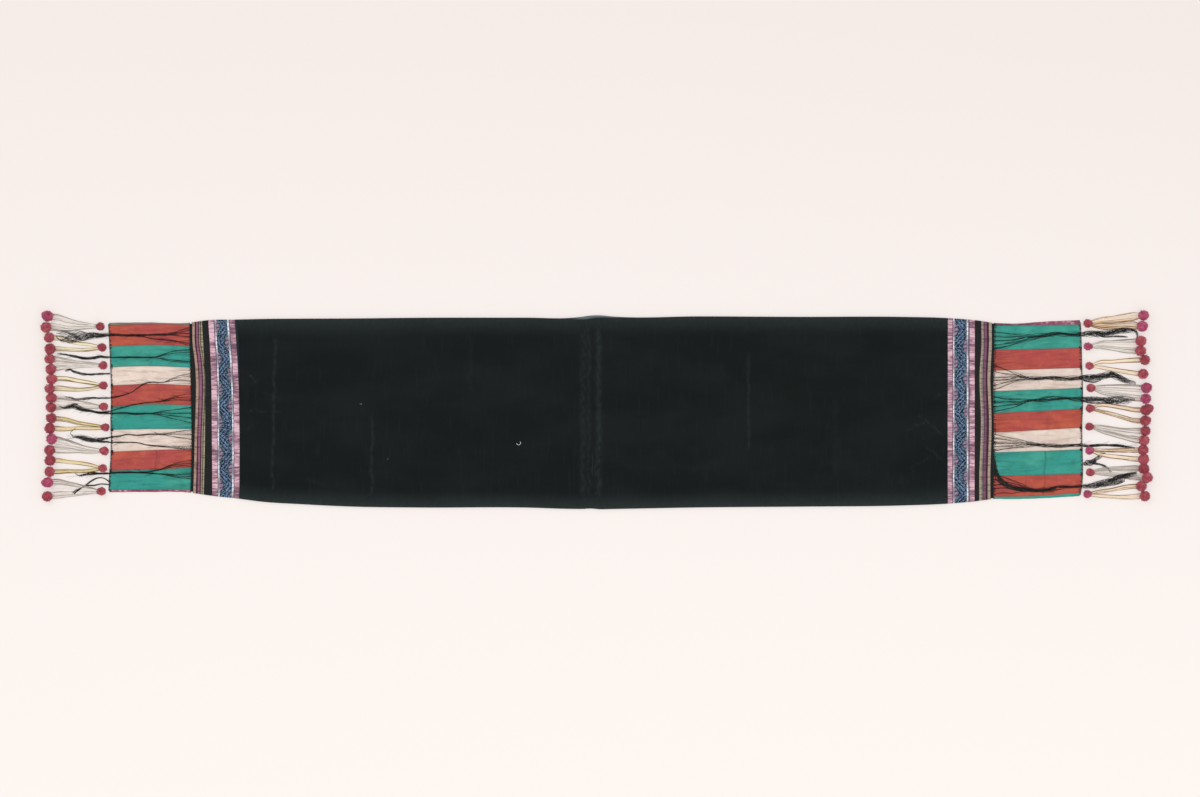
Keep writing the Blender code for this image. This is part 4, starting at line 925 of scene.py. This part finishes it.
def band_detail(end):
    """The stripes stand up a little, each with a rounded top."""
    swell = ripples(31, 0.05, 7)
    own = np.array([row[0] for row in end.stripes])
    relief = []
    for place in band_columns(end.stripes):
        index = int(np.clip(np.searchsorted(own, place) - 1, 0, len(own) - 2))
        t = (place - own[index]) / (own[index + 1] - own[index])
        height = STRIPE_RELIEF.get(end.kinds[index], 0.0) * 0.001
        relief.append(height * math.sin(math.pi * min(max(t, 0), 1)) ** 0.5)

    def detail(px, py):
        return 0.00018 * swell(to_x(px), to_y(py)) + np.array(relief)[None, :] - 0.0001, np.zeros_like(px)

    return detail


# Silk.

def silk_px(end, along, py):
    """px at a share of the way along an end's silk, whose left side is at 0."""
    edge, seam = end.edge(py) - end.outward * EDGING_PX, end.silk(py)
    first, last = (edge, seam) if end is LEFT else (seam, edge)
    return first + (last - first) * along


def strip_shape(end, number, x, y, px, along, part, width_px):
    """Heights of a strip, and the painted shade in its creases, puckers and along its seams."""
    seed = 40 + number + 20 * end.seed
    rng = np.random.default_rng(seed)
    to_band = along if end is LEFT else 1 - along
    from_band = (1 - to_band) * BAND_TO_EDGE_PX
    crown = 1 - np.abs(2 * part - 1) ** 5
    z = STRIP_SIDE_HEIGHT + STRIP_CROWN * crown
    z = z + 0.00022 * ripples(seed, 0.030, 7, 2.0)(x, y) * crown
    painted_shade = np.zeros_like(z)
    # Puckers where the silk is gathered into the band, with painted shade in them.
    for _ in range(PUCKERS):
        at = rng.uniform(0.06, 0.94)
        reach = rng.uniform(8, 40)
        size = rng.uniform(0.5, 1.0)
        drift = rng.uniform(-0.14, 0.14)
        bend = at + drift * from_band / 40 + 0.02 * np.sin(from_band / rng.uniform(3, 6) + rng.uniform(0, 6))
        line = np.exp(-((part - bend) * width_px / rng.uniform(0.4, 0.75)) ** 2)
        fade = np.clip(1 - from_band / reach, 0, 1) ** 0.8
        z = z - 0.00045 * size * line * fade * crown
        painted_shade = np.maximum(painted_shade, 0.8 * size * line * fade)
    # Softer creases anywhere along the strip, with painted shade along them.
    for _ in range(SOFT_CREASES):
        at = rng.uniform(0.1, 0.9)
        start = rng.uniform(0, 60)
        reach = rng.uniform(12, 30)
        bend = at + 0.05 * np.sin(from_band / 9 + rng.uniform(0, 6))
        line = np.exp(-((part - bend) * width_px / rng.uniform(0.6, 1.2)) ** 2)
        fade = np.exp(-((from_band - (start + reach / 2)) / reach * 2) ** 2)
        z = z + 0.00025 * line * fade * crown
        painted_shade = np.maximum(painted_shade, 0.32 * line * fade)
    # The listed crosswise creases: a dip with painted shade in it.
    for where, which, at, wide, depth in STRIP_CREASES:
        if (where, which) == (end.side, number):
            line = np.exp(-((px - at - 0.8 * np.sin(part * 5)) / wide) ** 2)
            z = z - 0.0004 * depth * line * crown
            painted_shade = np.maximum(painted_shade, depth * line)
    # The seams pull each strip down, which darkens its edges a little.
    # Painted shade along each strip's edges, where it dips into the seams.
    painted_shade = np.maximum(painted_shade, 0.35 * np.clip(1 - np.minimum(part, 1 - part) * width_px / 1.2, 0, 1))
    return np.minimum(z, STRIP_HEIGHT_MOST), painted_shade


def build_strip(end, number, upper_seam, lower_seam, material):
    """A strip of silk between two seams: a thin pillow that stands on its foot."""
    name = f"silk_strip_{end.side}_{number}"
    along = np.linspace(0, 1, STRIP_COLUMNS)[:, None] * np.ones(STRIP_ROWS)
    part = np.linspace(0, 1, STRIP_ROWS)[None, :] * np.ones((STRIP_COLUMNS, 1))
    upper_line = eased(tuple(zip(end.seam_stations, upper_seam)))
    lower_line = eased(tuple(zip(end.seam_stations, lower_seam)))
    py = np.full(along.shape, MIDDLE_PY)
    for _ in range(3):
        px = silk_px(end, along, py)
        upper, lower = upper_line(px), lower_line(px)
        py = upper + (lower - upper) * part
    width = (lower - upper) * VIEW_SCALE
    x = to_x(px)
    y = to_y(upper) - SEAM_GAP / 3 - (width - SEAM_GAP * 2 / 3) * part
    z, painted_shade = strip_shape(end, number, x, y, px, along, part, lower - upper)
    points = np.stack([x.ravel(), y.ravel(), z.ravel()], axis=1)
    rim = grid_rim(STRIP_COLUMNS, STRIP_ROWS)
    foot = points[rim]
    foot[:, 2] = STRIP_FOOT
    base, count = len(points), len(rim)
    faces = grid_faces(STRIP_COLUMNS, STRIP_ROWS)
    for index in range(count):
        after = (index + 1) % count
        faces.append((rim[index], rim[after], base + after, base + index))
    faces.append(tuple(range(base, base + count)))
    # Painted shade on the strip's sides, down to its foot.
    marks = np.concatenate([painted_shade.ravel(), np.full(count, 0.3)])
    piece = make_piece(f"{name}_cloth", np.concatenate([points, foot]), faces, material, (name,),
                       {"painted_shade": marks})


def build_silk_fold(end, seam, upper, material):
    """A strip that turns round the long fold: a leaf on the face, a rolled edge and a leaf turned under."""
    name = f"silk_fold_{end.side}_{'top' if upper else 'bottom'}"
    outward = 1.0 if upper else -1.0
    line = upper_fold if upper else lower_fold
    seam_line = eased(tuple(zip(end.seam_stations, seam)))
    radius, wall = FOLD_RADIUS, FOLD_WALL
    along = np.linspace(0, 1, FOLD_COLUMNS)
    wobble = ripples(71 if upper else 72, 0.02, 5)
    px = silk_px(end, along, np.full(FOLD_COLUMNS, MIDDLE_PY))
    fold = to_y(line(px)) + outward * 0.00015 * wobble(to_x(px), px * 0)
    turn = fold - outward * radius
    leaf_end = to_y(seam_line(px)) + outward * SEAM_GAP / 3
    under_end = fold - outward * TURN_UNDER
    ring = [(under_end + (turn - under_end) * share, UNDERSIDE) for share in (0.0, 0.25, 0.5, 0.75, 1.0)]
    for angle in (-60, -30, 0, 30, 60):
        bend = math.radians(angle)
        ring.append((turn + outward * radius * math.cos(bend), radius + radius * math.sin(bend)))
    ring += [(turn + (leaf_end - turn) * share, 2 * radius) for share in (0.0, 0.35, 0.7, 1.0)]
    ring += [
        (leaf_end, 2 * radius - wall), (turn, 2 * radius - wall), (turn + outward * (radius - wall), radius),
        (turn, wall), (turn + (under_end - turn) * 0.5, wall), (under_end, wall),
    ]
    y, z = np.array([y for y, _ in ring]), [z for _, z in ring]
    x = to_x(silk_px(end, along, MIDDLE_PY - y / VIEW_SCALE))
    points = np.stack([x.T.ravel(), y.T.ravel(), np.tile(z, FOLD_COLUMNS)], axis=1)
    shade = np.clip(1 - along / 0.45, 0, 1) ** 0.5 * (end.fold_shade if upper else 0.0)
    faces = closed_ring_faces(len(ring), FOLD_COLUMNS)
    piece = make_piece(f"{name}_cloth", points, faces, material, (name,),
                       {"painted_shade": np.repeat(shade, len(ring))})


def build_silk_back(end, materials):
    """The plain strips of an end's back, seamed side by side between the turned-under leaves."""
    name = f"silk_back_{end.side}"
    inset = (TURN_UNDER + SEAM_GAP) / VIEW_SCALE
    total = BACK_ROWS * len(BACK_ORDER) + 1
    along = np.linspace(0, 1, BACK_COLUMNS)
    middle_px = silk_px(end, along, np.full(BACK_COLUMNS, MIDDLE_PY))
    first, last = upper_fold(middle_px) + inset, lower_fold(middle_px) - inset
    rows = np.arange(total)
    py = first + (last - first) * (rows / (total - 1))[:, None]
    x = to_x(silk_px(end, along, py))
    top = np.stack([x.ravel(), to_y(py).ravel(), np.full(py.size, BACK_HEIGHT)], axis=1)
    at_seam = (rows % BACK_ROWS == 0) & (rows > 0) & (rows < total - 1)
    under = top.copy()
    under[:, 2] = np.repeat(np.where(at_seam, BACK_SEAM, UNDERSIDE), BACK_COLUMNS)
    points = np.concatenate([top, under])
    faces = grid_faces(total, BACK_COLUMNS) + grid_faces(total, BACK_COLUMNS, len(top))
    strips = list(np.tile(np.repeat(rows[:-1] // BACK_ROWS, BACK_COLUMNS - 1), 2))
    rim = grid_rim(total, BACK_COLUMNS)
    for index, here in enumerate(rim):
        after = rim[(index + 1) % len(rim)]
        faces.append((here, after, after + len(top), here + len(top)))
        strips.append(min(here // BACK_COLUMNS // BACK_ROWS, len(BACK_ORDER) - 1))
    piece = make_piece(f"{name}_cloth", points, faces, materials[BACK_ORDER[0]], (name,),
                       {"painted_shade": np.zeros(len(points))})
    piece.data.materials.append(materials["red"])
    piece.data.materials.append(materials["cream"])
    slots = {"green": 0, "red": 1, "cream": 2}
    indices = np.array([slots[BACK_ORDER[strip]] for strip in strips], np.int32)
    piece.data.polygons.foreach_set("material_index", indices)


# Threads.

def smooth_path(points, step):
    """A path resampled along a Catmull-Rom curve."""
    points = np.asarray(points, float)
    padded = np.concatenate([2 * points[:1] - points[1:2], points, 2 * points[-1:] - points[-2:-1]])
    out = []
    for index in range(len(points) - 1):
        p0, p1, p2, p3 = padded[index:index + 4]
        count = max(1, int(np.linalg.norm(p2 - p1) / step))
        for t in np.arange(count) / count:
            out.append(0.5 * (2 * p1 + (p2 - p0) * t + (2 * p0 - 5 * p1 + 4 * p2 - p3) * t ** 2
                              + (3 * p1 - p0 - 3 * p2 + p3) * t ** 3))
    out.append(points[-1])
    return np.array(out)


class Strands:
    """Many threads in one mesh: each a closed tube along its path."""

    def __init__(self, sides):
        self.sides = sides
        self.points, self.faces, self.tones = [], [], []
        self.count = 0

    def add(self, path, radii, shade, sides=None, reference=(0.0, 0.0, 1.0)):
        path = np.asarray(path, float)
        sides = sides or self.sides
        radii = np.broadcast_to(radii, len(path))
        tangent = np.gradient(path, axis=0)
        tangent /= np.maximum(np.linalg.norm(tangent, axis=1, keepdims=True), 1e-9)
        side = np.cross(tangent, np.array(reference))
        side /= np.maximum(np.linalg.norm(side, axis=1, keepdims=True), 1e-9)
        up = np.cross(side, tangent)
        turns = 2 * np.pi * np.arange(sides) / sides
        cosines, sines = np.cos(turns)[None, :, None], np.sin(turns)[None, :, None]
        across = side[:, None, :] * cosines + up[:, None, :] * sines
        ring = path[:, None, :] + radii[:, None, None] * across
        self.points.append(ring.reshape(-1, 3))
        self.tones.append(np.full(len(path) * sides, shade))
        self.faces += closed_ring_faces(sides, len(path), self.count)
        self.count += len(path) * sides

    def build(self, name, material, nodes=()):
        tones = {"tone": np.concatenate(self.tones)}
        return make_piece(name, np.concatenate(self.points), self.faces, material, nodes, tones)


def lane_curve(lane, step=1.6):
    """A lane closely sampled: its columns, the distance run, and the direction across it toward +py."""
    lane = np.array(lane, float)
    lengths = np.concatenate([[0], np.cumsum(np.hypot(np.diff(lane[:, 0]), np.diff(lane[:, 1])))])
    columns = smooth_path(np.column_stack([lane, lengths]), step).T
    heading = np.gradient(columns[:2], axis=1)
    heading /= np.maximum(np.hypot(*heading), 1e-9)
    turned = np.where(heading[0] < 0, -1.0, 1.0)
    return columns, -heading[1] * turned, heading[0] * turned


def bundle_paths(rng, lane, count, twist, wander, lift):
    """Paths of a bundle: the lane's rows are px, py, width in px and height in metres."""
    (px, py, width, height, run), across_px, across_py = lane_curve(lane)
    paths = []
    for index in range(count):
        share = index / max(count - 1, 1) * 2 - 1
        turn = 2 * math.pi * run / twist + rng.uniform(0, 2 * math.pi)
        own = share * (1 - wander) + wander * np.sin(turn)
        own = own + 0.10 * np.sin(run / rng.uniform(2.2, 5) + rng.uniform(0, 6))
        across = own * width / 2
        z = height + lift * (0.5 + 0.5 * np.cos(turn)) + lift * 0.5 * rng.uniform(0, 1)
        paths.append(np.column_stack(spot(px + across_px * across, py + across_py * across, z)))
    return paths


def taper(count, radius, tip, tip_share=0.12):
    along = np.linspace(0, 1, count)
    return radius * np.clip(tip + (1 - tip) * (1 - along) / tip_share, tip, 1)


def on_silk(px, end):
    """Height at which the black threads lie: on the silk, then sinking past its end."""
    past = (px - end.cloth_end) * end.outward
    return 0.0040 - 0.0012 * min(max(past / 30, 0), 1)


def run_paths(rng, end, run):
    """Threads that leave the selvedge at their own roots and close up into one run."""
    roots, merged, copies, twist, lane = run
    (px, py, width, length), *_ = lane_curve(lane, 2.0)
    gone = np.clip(np.abs(px - px[0]) / abs(merged - px[0]), 0, 1)
    free = (1 - gone) ** 1.15
    width = width * end.lane_share
    for index, root in enumerate(roots):
        for _ in range(copies + 1):
            own_root = root + rng.uniform(-0.35, 0.35)
            turn = 2 * math.pi * length / twist + rng.uniform(0, 2 * math.pi)
            share = 0.45 * (index / (len(roots) - 1) * 2 - 1) + 0.55 * np.sin(turn)
            sway = 0.7 * np.sin(length / rng.uniform(5, 12) + rng.uniform(0, 6)) * gone
            y = py * (1 - free) + (own_root + sway) * free + share * width / 2 * (1 - free)
            x = px + (float(end.silk(own_root)) - px[0]) * np.clip(1 - gone * 3, 0, 1)
            z = np.array([on_silk(at, end) for at in px]) + 0.0003 * (1 + np.cos(turn)) * (1 - free)
            z = z + rng.uniform(0, 0.0002) - 0.0004 * np.clip(1 - gone * 16, 0, 1)
            yield np.column_stack(spot(x, y, z))


def build_black_threads(end, material):
    """The loose black threads: runs over the silk, frayed past its end, with stray hairs and ends of weft."""
    rng = np.random.default_rng(11 + end.seed)
    outward = end.outward
    strands = Strands(4)

    def lay(path, thick, tip, shades):
        strands.add(path, taper(len(path), rng.uniform(*thick), tip), rng.uniform(*shades))

    for run in end.runs:
        for path in run_paths(rng, end, run):
            lay(path, end.thick, 0.4, (0.0, 0.6))
        # Past the end of the silk the run frays and thickens.
        past = [row for row in run[4] if (row[0] - end.cloth_end) * outward > -8]
        rows = [(px, py, width * 1.25, on_silk(px, end)) for px, py, width in past]
        count = int(min(4 + 4.2 * max(row[2] for row in rows), end.fray_most))
        for path in bundle_paths(rng, rows, count, 24, 0.5, 0.0006):
            first = int(len(path) * rng.uniform(0.0, 0.25))
            last = int(len(path) * rng.uniform(0.75, 1.0))
            lay(path[first:max(last, first + 4)], (0.00014, 0.00026), 0.3, (0.1, 1.0))
    for count, twist, wander, lane in end.loose:
        rows = [(px, py, width, on_silk(px, end) - 0.0002) for px, py, width in lane]
        for path in bundle_paths(rng, rows, count * 3, twist, wander, 0.0005):
            lay(path, (0.00014, 0.00028), 0.3, (0.1, 0.9))
    # Fine stray hairs that leave the runs sideways.
    for run in end.runs:
        lane = run[4]
        for _ in range(HAIRS):
            px, py, _width = lane[int(rng.integers(1, len(lane) - 1))]
            reach, rise = rng.uniform(5, 15) * outward, rng.uniform(-4.5, 4.5)
            z = on_silk(px, end) + 0.0002
            row = [(px + reach * a, py + rise * b, 0.1, z) for a, b in ((0, 0), (0.5, 0.35), (1, 1))]
            for path in bundle_paths(rng, row, 1, 20, 0.2, 0.0002):
                strands.add(path, rng.uniform(0.00009, 0.00016), rng.uniform(0.3, 0.9))
    # Short ends of weft along the selvedge.
    for py in np.arange(*end.weft_rows, WEFT_STEP):
        edge = float(end.silk(py))
        reach = rng.uniform(0.4, end.weft_reach)
        path = [
            spot(edge - outward * 1.2, py, 0.0038), spot(edge, py + rng.uniform(-0.4, 0.4), 0.0041),
            spot(edge + outward * reach, py + rng.uniform(-0.9, 0.9), 0.0038),
        ]
        strands.add(smooth_path(path, 0.0012), 0.00030, rng.uniform(0.0, 0.5))
    return strands.build(f"black_threads_{end.side}", material)


def build_selvedge(end, material):
    """The narrow black strip beside the band, with fine ribs like the threads that leave it."""
    outward = end.outward
    rows = np.linspace(*end.selvedge_rows, SELVEDGE_ROWS)
    profile = (
        (0.0, 0.0006), (0.0, 0.0032), (0.12, 0.0040), (0.4, 0.00415), (0.76, 0.0041), (1.0, 0.0036),
        (1.0, 0.0006),
    )
    band_edge = eased([(at, to_x(px)) for at, px in zip(end.stations, end.stripes[end.outermost][1:])])
    points = []
    for index, py in enumerate(rows):
        rib = 0.00013 * math.sin(index * 2 * math.pi / 3.2)
        outer = to_x(float(end.silk(py))) - outward * SEAM_GAP
        width = abs(float(band_edge(py)) - outer)
        for inward, z in profile:
            points.append((outer - outward * inward * width, to_y(py), z + (rib if z > 0.003 else 0.0)))
    tones = np.repeat(0.25 + 0.2 * np.sin(np.arange(len(rows)) * 1.9), len(profile))
    return make_piece(f"selvedge_{end.side}", points, closed_ring_faces(len(profile), len(rows)), material,
                      (f"black_fringe_{end.side}",), {"tone": tones})


def build_edging(end, material):
    """Overcast stitches over the raw end of the silk, closer at its seams, on a core thread."""
    outward = end.outward
    rng = np.random.default_rng(21 + end.seed)
    strands = Strands(6)
    at_seams = [seam[end.outermost] + off for seam in end.seams[1:-1] for off in (-1.1, -0.4, 0.4, 1.1)]
    for py in [*np.arange(*end.edging_rows, STITCH_STEP), *at_seams]:
        edge = to_x(float(end.edge(py)))
        reach = rng.uniform(0.0016, 0.0036) + (0.0014 if rng.uniform() < 0.2 or py in at_seams else 0.0)
        slant = rng.uniform(-0.9, 1.3)
        path = [
            (edge - outward * 0.0010, to_y(py), 0.0007), (edge - outward * 0.0003, to_y(py), 0.00062),
            (edge, to_y(py + 0.1), 0.0014), (edge, to_y(py + 0.2), 0.0026),
            (edge - outward * 0.0006, to_y(py + 0.3), 0.0036),
            (edge - outward * reach, to_y(py + slant), 0.0037),
            (edge - outward * (reach + 0.0003), to_y(py + slant), 0.0031),
        ]
        strands.add(smooth_path(path, 0.0010), rng.uniform(0.00036, 0.00060), rng.uniform(0.0, 0.6),
                    reference=(0.0, 1.0, 0.0))
    rows = np.linspace(*end.edging_rows, CORE_ROWS)
    core = np.column_stack([to_x(end.edge(rows)) - outward * 0.0006, to_y(rows), np.full(CORE_ROWS, 0.0018)])
    strands.add(core, 0.00055, 0.1, sides=8)
    return strands.build(f"edge_overcast_{end.side}_stitches", material,
                         (f"edge_overcast_{end.side}",))


# Tassels.

def add_pompom(points, faces, tones, middle, radius, rng, base_tone, pointed):
    """A clumpy wool ball with short tufts all over it."""
    aim = np.array([pointed[0], pointed[1], 0.0])
    aim /= np.linalg.norm(aim)
    ball = bmesh.new()
    bmesh.ops.create_icosphere(ball, subdivisions=3, radius=1.0)
    start = len(points)
    shift = Vector(rng.uniform(-50, 50, 3))
    middle = np.array(middle)
    stretch = np.array([rng.uniform(0.92, 1.07), rng.uniform(0.92, 1.07), 1.0])

    def pull(direction):
        """How much longer the wool is toward the pointed side."""
        return pointed[2] * max(0.0, float(np.dot(np.array(direction), aim))) ** 5

    for vert in ball.verts:
        direction = vert.co.normalized()
        clump = noise.noise(direction * 1.6 + shift) * 0.22 + noise.noise(direction * 5.0 + shift) * 0.13
        point = middle + np.array(direction) * radius * stretch * (0.93 + clump + pull(direction))
        point[2] = max(point[2], WOOL_LOWEST)
        points.append(point)
        tones.append(base_tone + 0.25 * noise.noise(direction * 5.5 + shift))
    for face in ball.faces:
        faces.append(tuple(start + vert.index for vert in face.verts))
    ball.free()
    count = LARGE_TUFTS if radius > (SMALL_POMPOM + LARGE_POMPOM) / 2 else SMALL_TUFTS
    for index in range(count):
        z = 1 - 2 * (index + 0.5) / count
        turn = index * 2.39996 + rng.uniform(-0.3, 0.3)
        flat = math.sqrt(max(0.0, 1 - z * z))
        direction = np.array([flat * math.cos(turn), flat * math.sin(turn), z])
        lean = direction + rng.uniform(-0.35, 0.35, 3)
        lean /= np.linalg.norm(lean)
        root = middle + direction * radius * 0.86
        tip = middle + direction * radius * 0.88 + lean * radius * (rng.uniform(0.14, 0.30) + pull(direction))
        tip[2] = max(tip[2], WOOL_LOWEST)
        side = np.cross(direction, [0.31, 0.77, 0.55])
        side /= np.linalg.norm(side)
        other = np.cross(direction, side)
        width = radius * rng.uniform(0.06, 0.10)
        here = len(points)
        for bend in (0, 2.094, 4.189):
            points.append(root + (side * math.cos(bend) + other * math.sin(bend)) * width)
            tones.append(base_tone - 0.1)
        points.append(tip)
        tones.append(base_tone + rng.uniform(0.0, 0.45))
        faces += [(here, here + 1, here + 3), (here + 1, here + 2, here + 3), (here + 2, here, here + 3),
                  (here, here + 2, here + 1)]


def build_pompoms(end, number, row, rng, materials):
    """The two large pompoms and the small one, a piece for each colour of wool."""
    groups = {"crimson": ([], [], []), "magenta": ([], [], [])}
    balls = ((row[3], LARGE_POMPOM), (row[4], LARGE_POMPOM), (row[0], SMALL_POMPOM))
    for index, (place, radius) in enumerate(balls):
        group = groups["magenta" if (number, index) in end.magenta else "crimson"]
        tuft = (end.outward, rng.uniform(-0.3, 0.3), 0.32 if index == 2 else 0.05)
        add_pompom(*group, spot(*place, radius + 0.0003), radius * rng.uniform(0.96, 1.05), rng,
                   rng.uniform(0.36, 0.56), POINTED.get((end.side, number, index), tuft))
    for key, (points, faces, tones) in groups.items():
        if points:
            make_piece(f"tassel_{end.side}_{number}_{key}", points, faces, materials[key],
                       attributes={"tone": tones})


def build_tassel(end, number, row, materials):
    small, upper_lane, lower_lane, large_one, large_two = row
    outward = end.outward
    rng = np.random.default_rng(number + 100 * end.seed)
    build_pompoms(end, number, row, rng, materials)
    strands = Strands(4)

    def lay(middles, halves, end_px, share, radius, shade):
        """One thread at its own share of the way across the lane."""
        places = [small[0] + outward * 2.4, *end.thread_stations, end_px]
        sway = rng.uniform(-0.35, 0.35, 6)
        lift = rng.uniform(0, 0.0012)
        rows = []
        for place, middle, half, height, off in zip(places, middles, halves, THREAD_HEIGHTS, sway):
            rows.append(spot(place, middle + share * half + off, height + lift))
        path = smooth_path(rows, 0.0042)
        path[:, 2] = np.maximum(path[:, 2], radius + UNDERSIDE)
        strands.add(path, taper(len(path), radius, 0.7, 0.03), shade)

    def lay_white():
        middles = [small[1], *[(a + b) / 2 for a, b in zip(upper_lane, lower_lane)]]
        middles.append((large_one[1] + large_two[1]) / 2)
        spare = (1.2, 1.8, 2.4, 2.9)
        halves = [1.5, *[(b - a) / 2 + wide for a, b, wide in zip(upper_lane, lower_lane, spare)]]
        halves.append((large_two[1] - large_one[1]) / 2 + 3.0)
        greyer = 0.25 if (end.side, number) == ("right", 8) else 0.0
        evenly = np.linspace(-1, 1, WHITE_THREADS) + rng.uniform(-0.04, 0.04, WHITE_THREADS)
        for share in np.sign(evenly) * np.abs(evenly) ** 0.75:
            end_px = large_one[0] + (large_two[0] - large_one[0]) * (share + 1) / 2 - outward * 2.5
            grey = (0.9 if abs(share) > 0.86 else 0.3) + greyer
            shade = rng.uniform(0.0, 0.35) if rng.uniform() < grey else rng.uniform(0.6, 1.0)
            radius = rng.uniform(0.00024, 0.00040) + (0.0001 if shade < 0.4 else 0)
            lay(middles, halves, end_px, share, radius, shade)

    def lay_yellow():
        wide = 1.9 if (end.side, number) == ("right", 1) else 1.0
        bright = (0.42, 0.95) if (end.side, number) in GOLDEN else (0.75, 1.0)
        halves = [1.0 * wide, 1.4 * wide, 1.7 * wide, 2.0 * wide, 2.2 * wide, 2.4]
        for lane, large, away in ((upper_lane, large_one, -1), (lower_lane, large_two, 1)):
            middles = [small[1] + away * 0.7, *lane, large[1]]
            for share in np.linspace(-1, 1, YELLOW_THREADS):
                at_edge = abs(share) > 0.8 or rng.uniform() < 0.12
                shade = rng.uniform(*((-0.1, 0.1) if at_edge else bright))
                lay(middles, halves, large[0] - outward * 2.5, share, rng.uniform(0.00036, 0.00050), shade)

    yellow = number % 2 == end.yellow_turn
    if yellow:
        lay_yellow()
    else:
        lay_white()
    look = materials[f"yellow_{end.side}" if yellow else "white"]
    strands.build(f"tassel_{end.side}_{number}_threads", look, (f"tassel_{end.side}_{number}",))


def make_lint(material):
    """Three bits of pale lint on the velvet."""
    strands = Strands(5)
    for radius, shade, bit in LINT:
        strands.add(smooth_path([spot(px, py, 0.0050) for px, py in bit], 0.0008), radius, shade)
    return strands.build("lint_on_velvet", material)


# Camera, floor and light.

def add_object(name, data):
    thing = bpy.data.objects.new(name, data)
    bpy.context.scene.collection.objects.link(thing)
    return thing


def make_floor():
    graph = Graph("Floor_Paper", 0.95, 0.05)
    _, y, _ = graph.split(graph.place())
    # The paper is painted lighter toward the bottom of the view: a painted light gradient.
    share = graph.plus(graph.over(y, 1.43), 0.5)
    paper_and_painted_light = graph.tones(share, (0.0, 251.5, 244, 239.5), (0.5, 246.5, 239, 235.5), (1.0, 241, 232.5, 228.5))
    # The floor also glows in its own colour, painting light into the shadows round the sash, and its base
    # colour is dimmed to match.
    graph.put(graph.shader.inputs["Emission Color"], paper_and_painted_light)
    graph.shader.inputs["Emission Strength"].default_value = 0.562
    mesh = bpy.data.meshes.new("Floor")
    size, level = 12.0, -0.0002
    corners = [(-size, -size, level), (size, -size, level), (size, size, level), (-size, size, level)]
    mesh.from_pydata(corners, [], [(0, 1, 2, 3)])
    mesh.materials.append(graph.finish(graph.mix(0.54, paper_and_painted_light, (0, 0, 0))))
    add_object("Floor", mesh)


def make_stage():
    camera_data = bpy.data.cameras.new("Camera")
    camera_data.lens = LENS
    camera_data.sensor_width = SENSOR
    camera_data.clip_end = 100
    camera = add_object("Camera", camera_data)
    camera.location = spot(CENTRE_PX, CENTRE_PY, CLOTH_PLANE + FRAME_WIDTH * LENS / SENSOR)
    bpy.context.scene.camera = camera
    make_floor()
    world = bpy.data.worlds.new("Soft_Studio")
    world.use_nodes = True
    background = world.node_tree.nodes["Background"]
    background.inputs[0].default_value = (1.0, 0.985, 0.975, 1.0)
    background.inputs[1].default_value = 0.80
    bpy.context.scene.world = world
    for name, place, energy in (("Key", (-1.6, 1.8, 4.2), 42.0), ("Fill", (2.0, -1.6, 4.2), 30.0)):
        lamp_data = bpy.data.lights.new(name, "AREA")
        lamp_data.shape = "DISK"
        lamp_data.size = 3.2
        lamp_data.energy = energy
        lamp = add_object(name, lamp_data)
        lamp.location = place
        lamp.rotation_euler = (-Vector(place)).to_track_quat("-Z", "Y").to_euler()
    bpy.context.scene.view_settings.view_transform = "Standard"


def build_end(end, materials):
    band = build_tube(f"woven_band_{end.side}", band_place(end), band_columns(end.stripes), BAND_HEIGHTS,
                      band_detail(end), materials[f"band_{end.side}"])
    selvedge = build_selvedge(end, materials["black"])
    threads = build_black_threads(end, materials["black"])
    for number, (upper, lower) in enumerate(zip(end.seams, end.seams[1:])):
        colour = end.colours[number]
        build_strip(end, number + 1, upper, lower, materials[colour])
    for seam, (look, slot), is_upper in zip((end.seams[0], end.seams[-1]), end.folds, (True, False)):
        build_silk_fold(end, seam, is_upper, materials[look])
    build_silk_back(end, materials)
    build_edging(end, materials["black"])
    for number, row in enumerate(end.tassels):
        build_tassel(end, number + 1, row, materials)


def main():
    make_stage()
    materials = make_materials()
    velvet = build_tube("velvet_main", velvet_place, velvet_columns(), VELVET_HEIGHTS, velvet_detail,
                        materials["velvet"])
    lint = make_lint(materials["white"])
    for end in (LEFT, RIGHT):
        build_end(end, materials)


main()
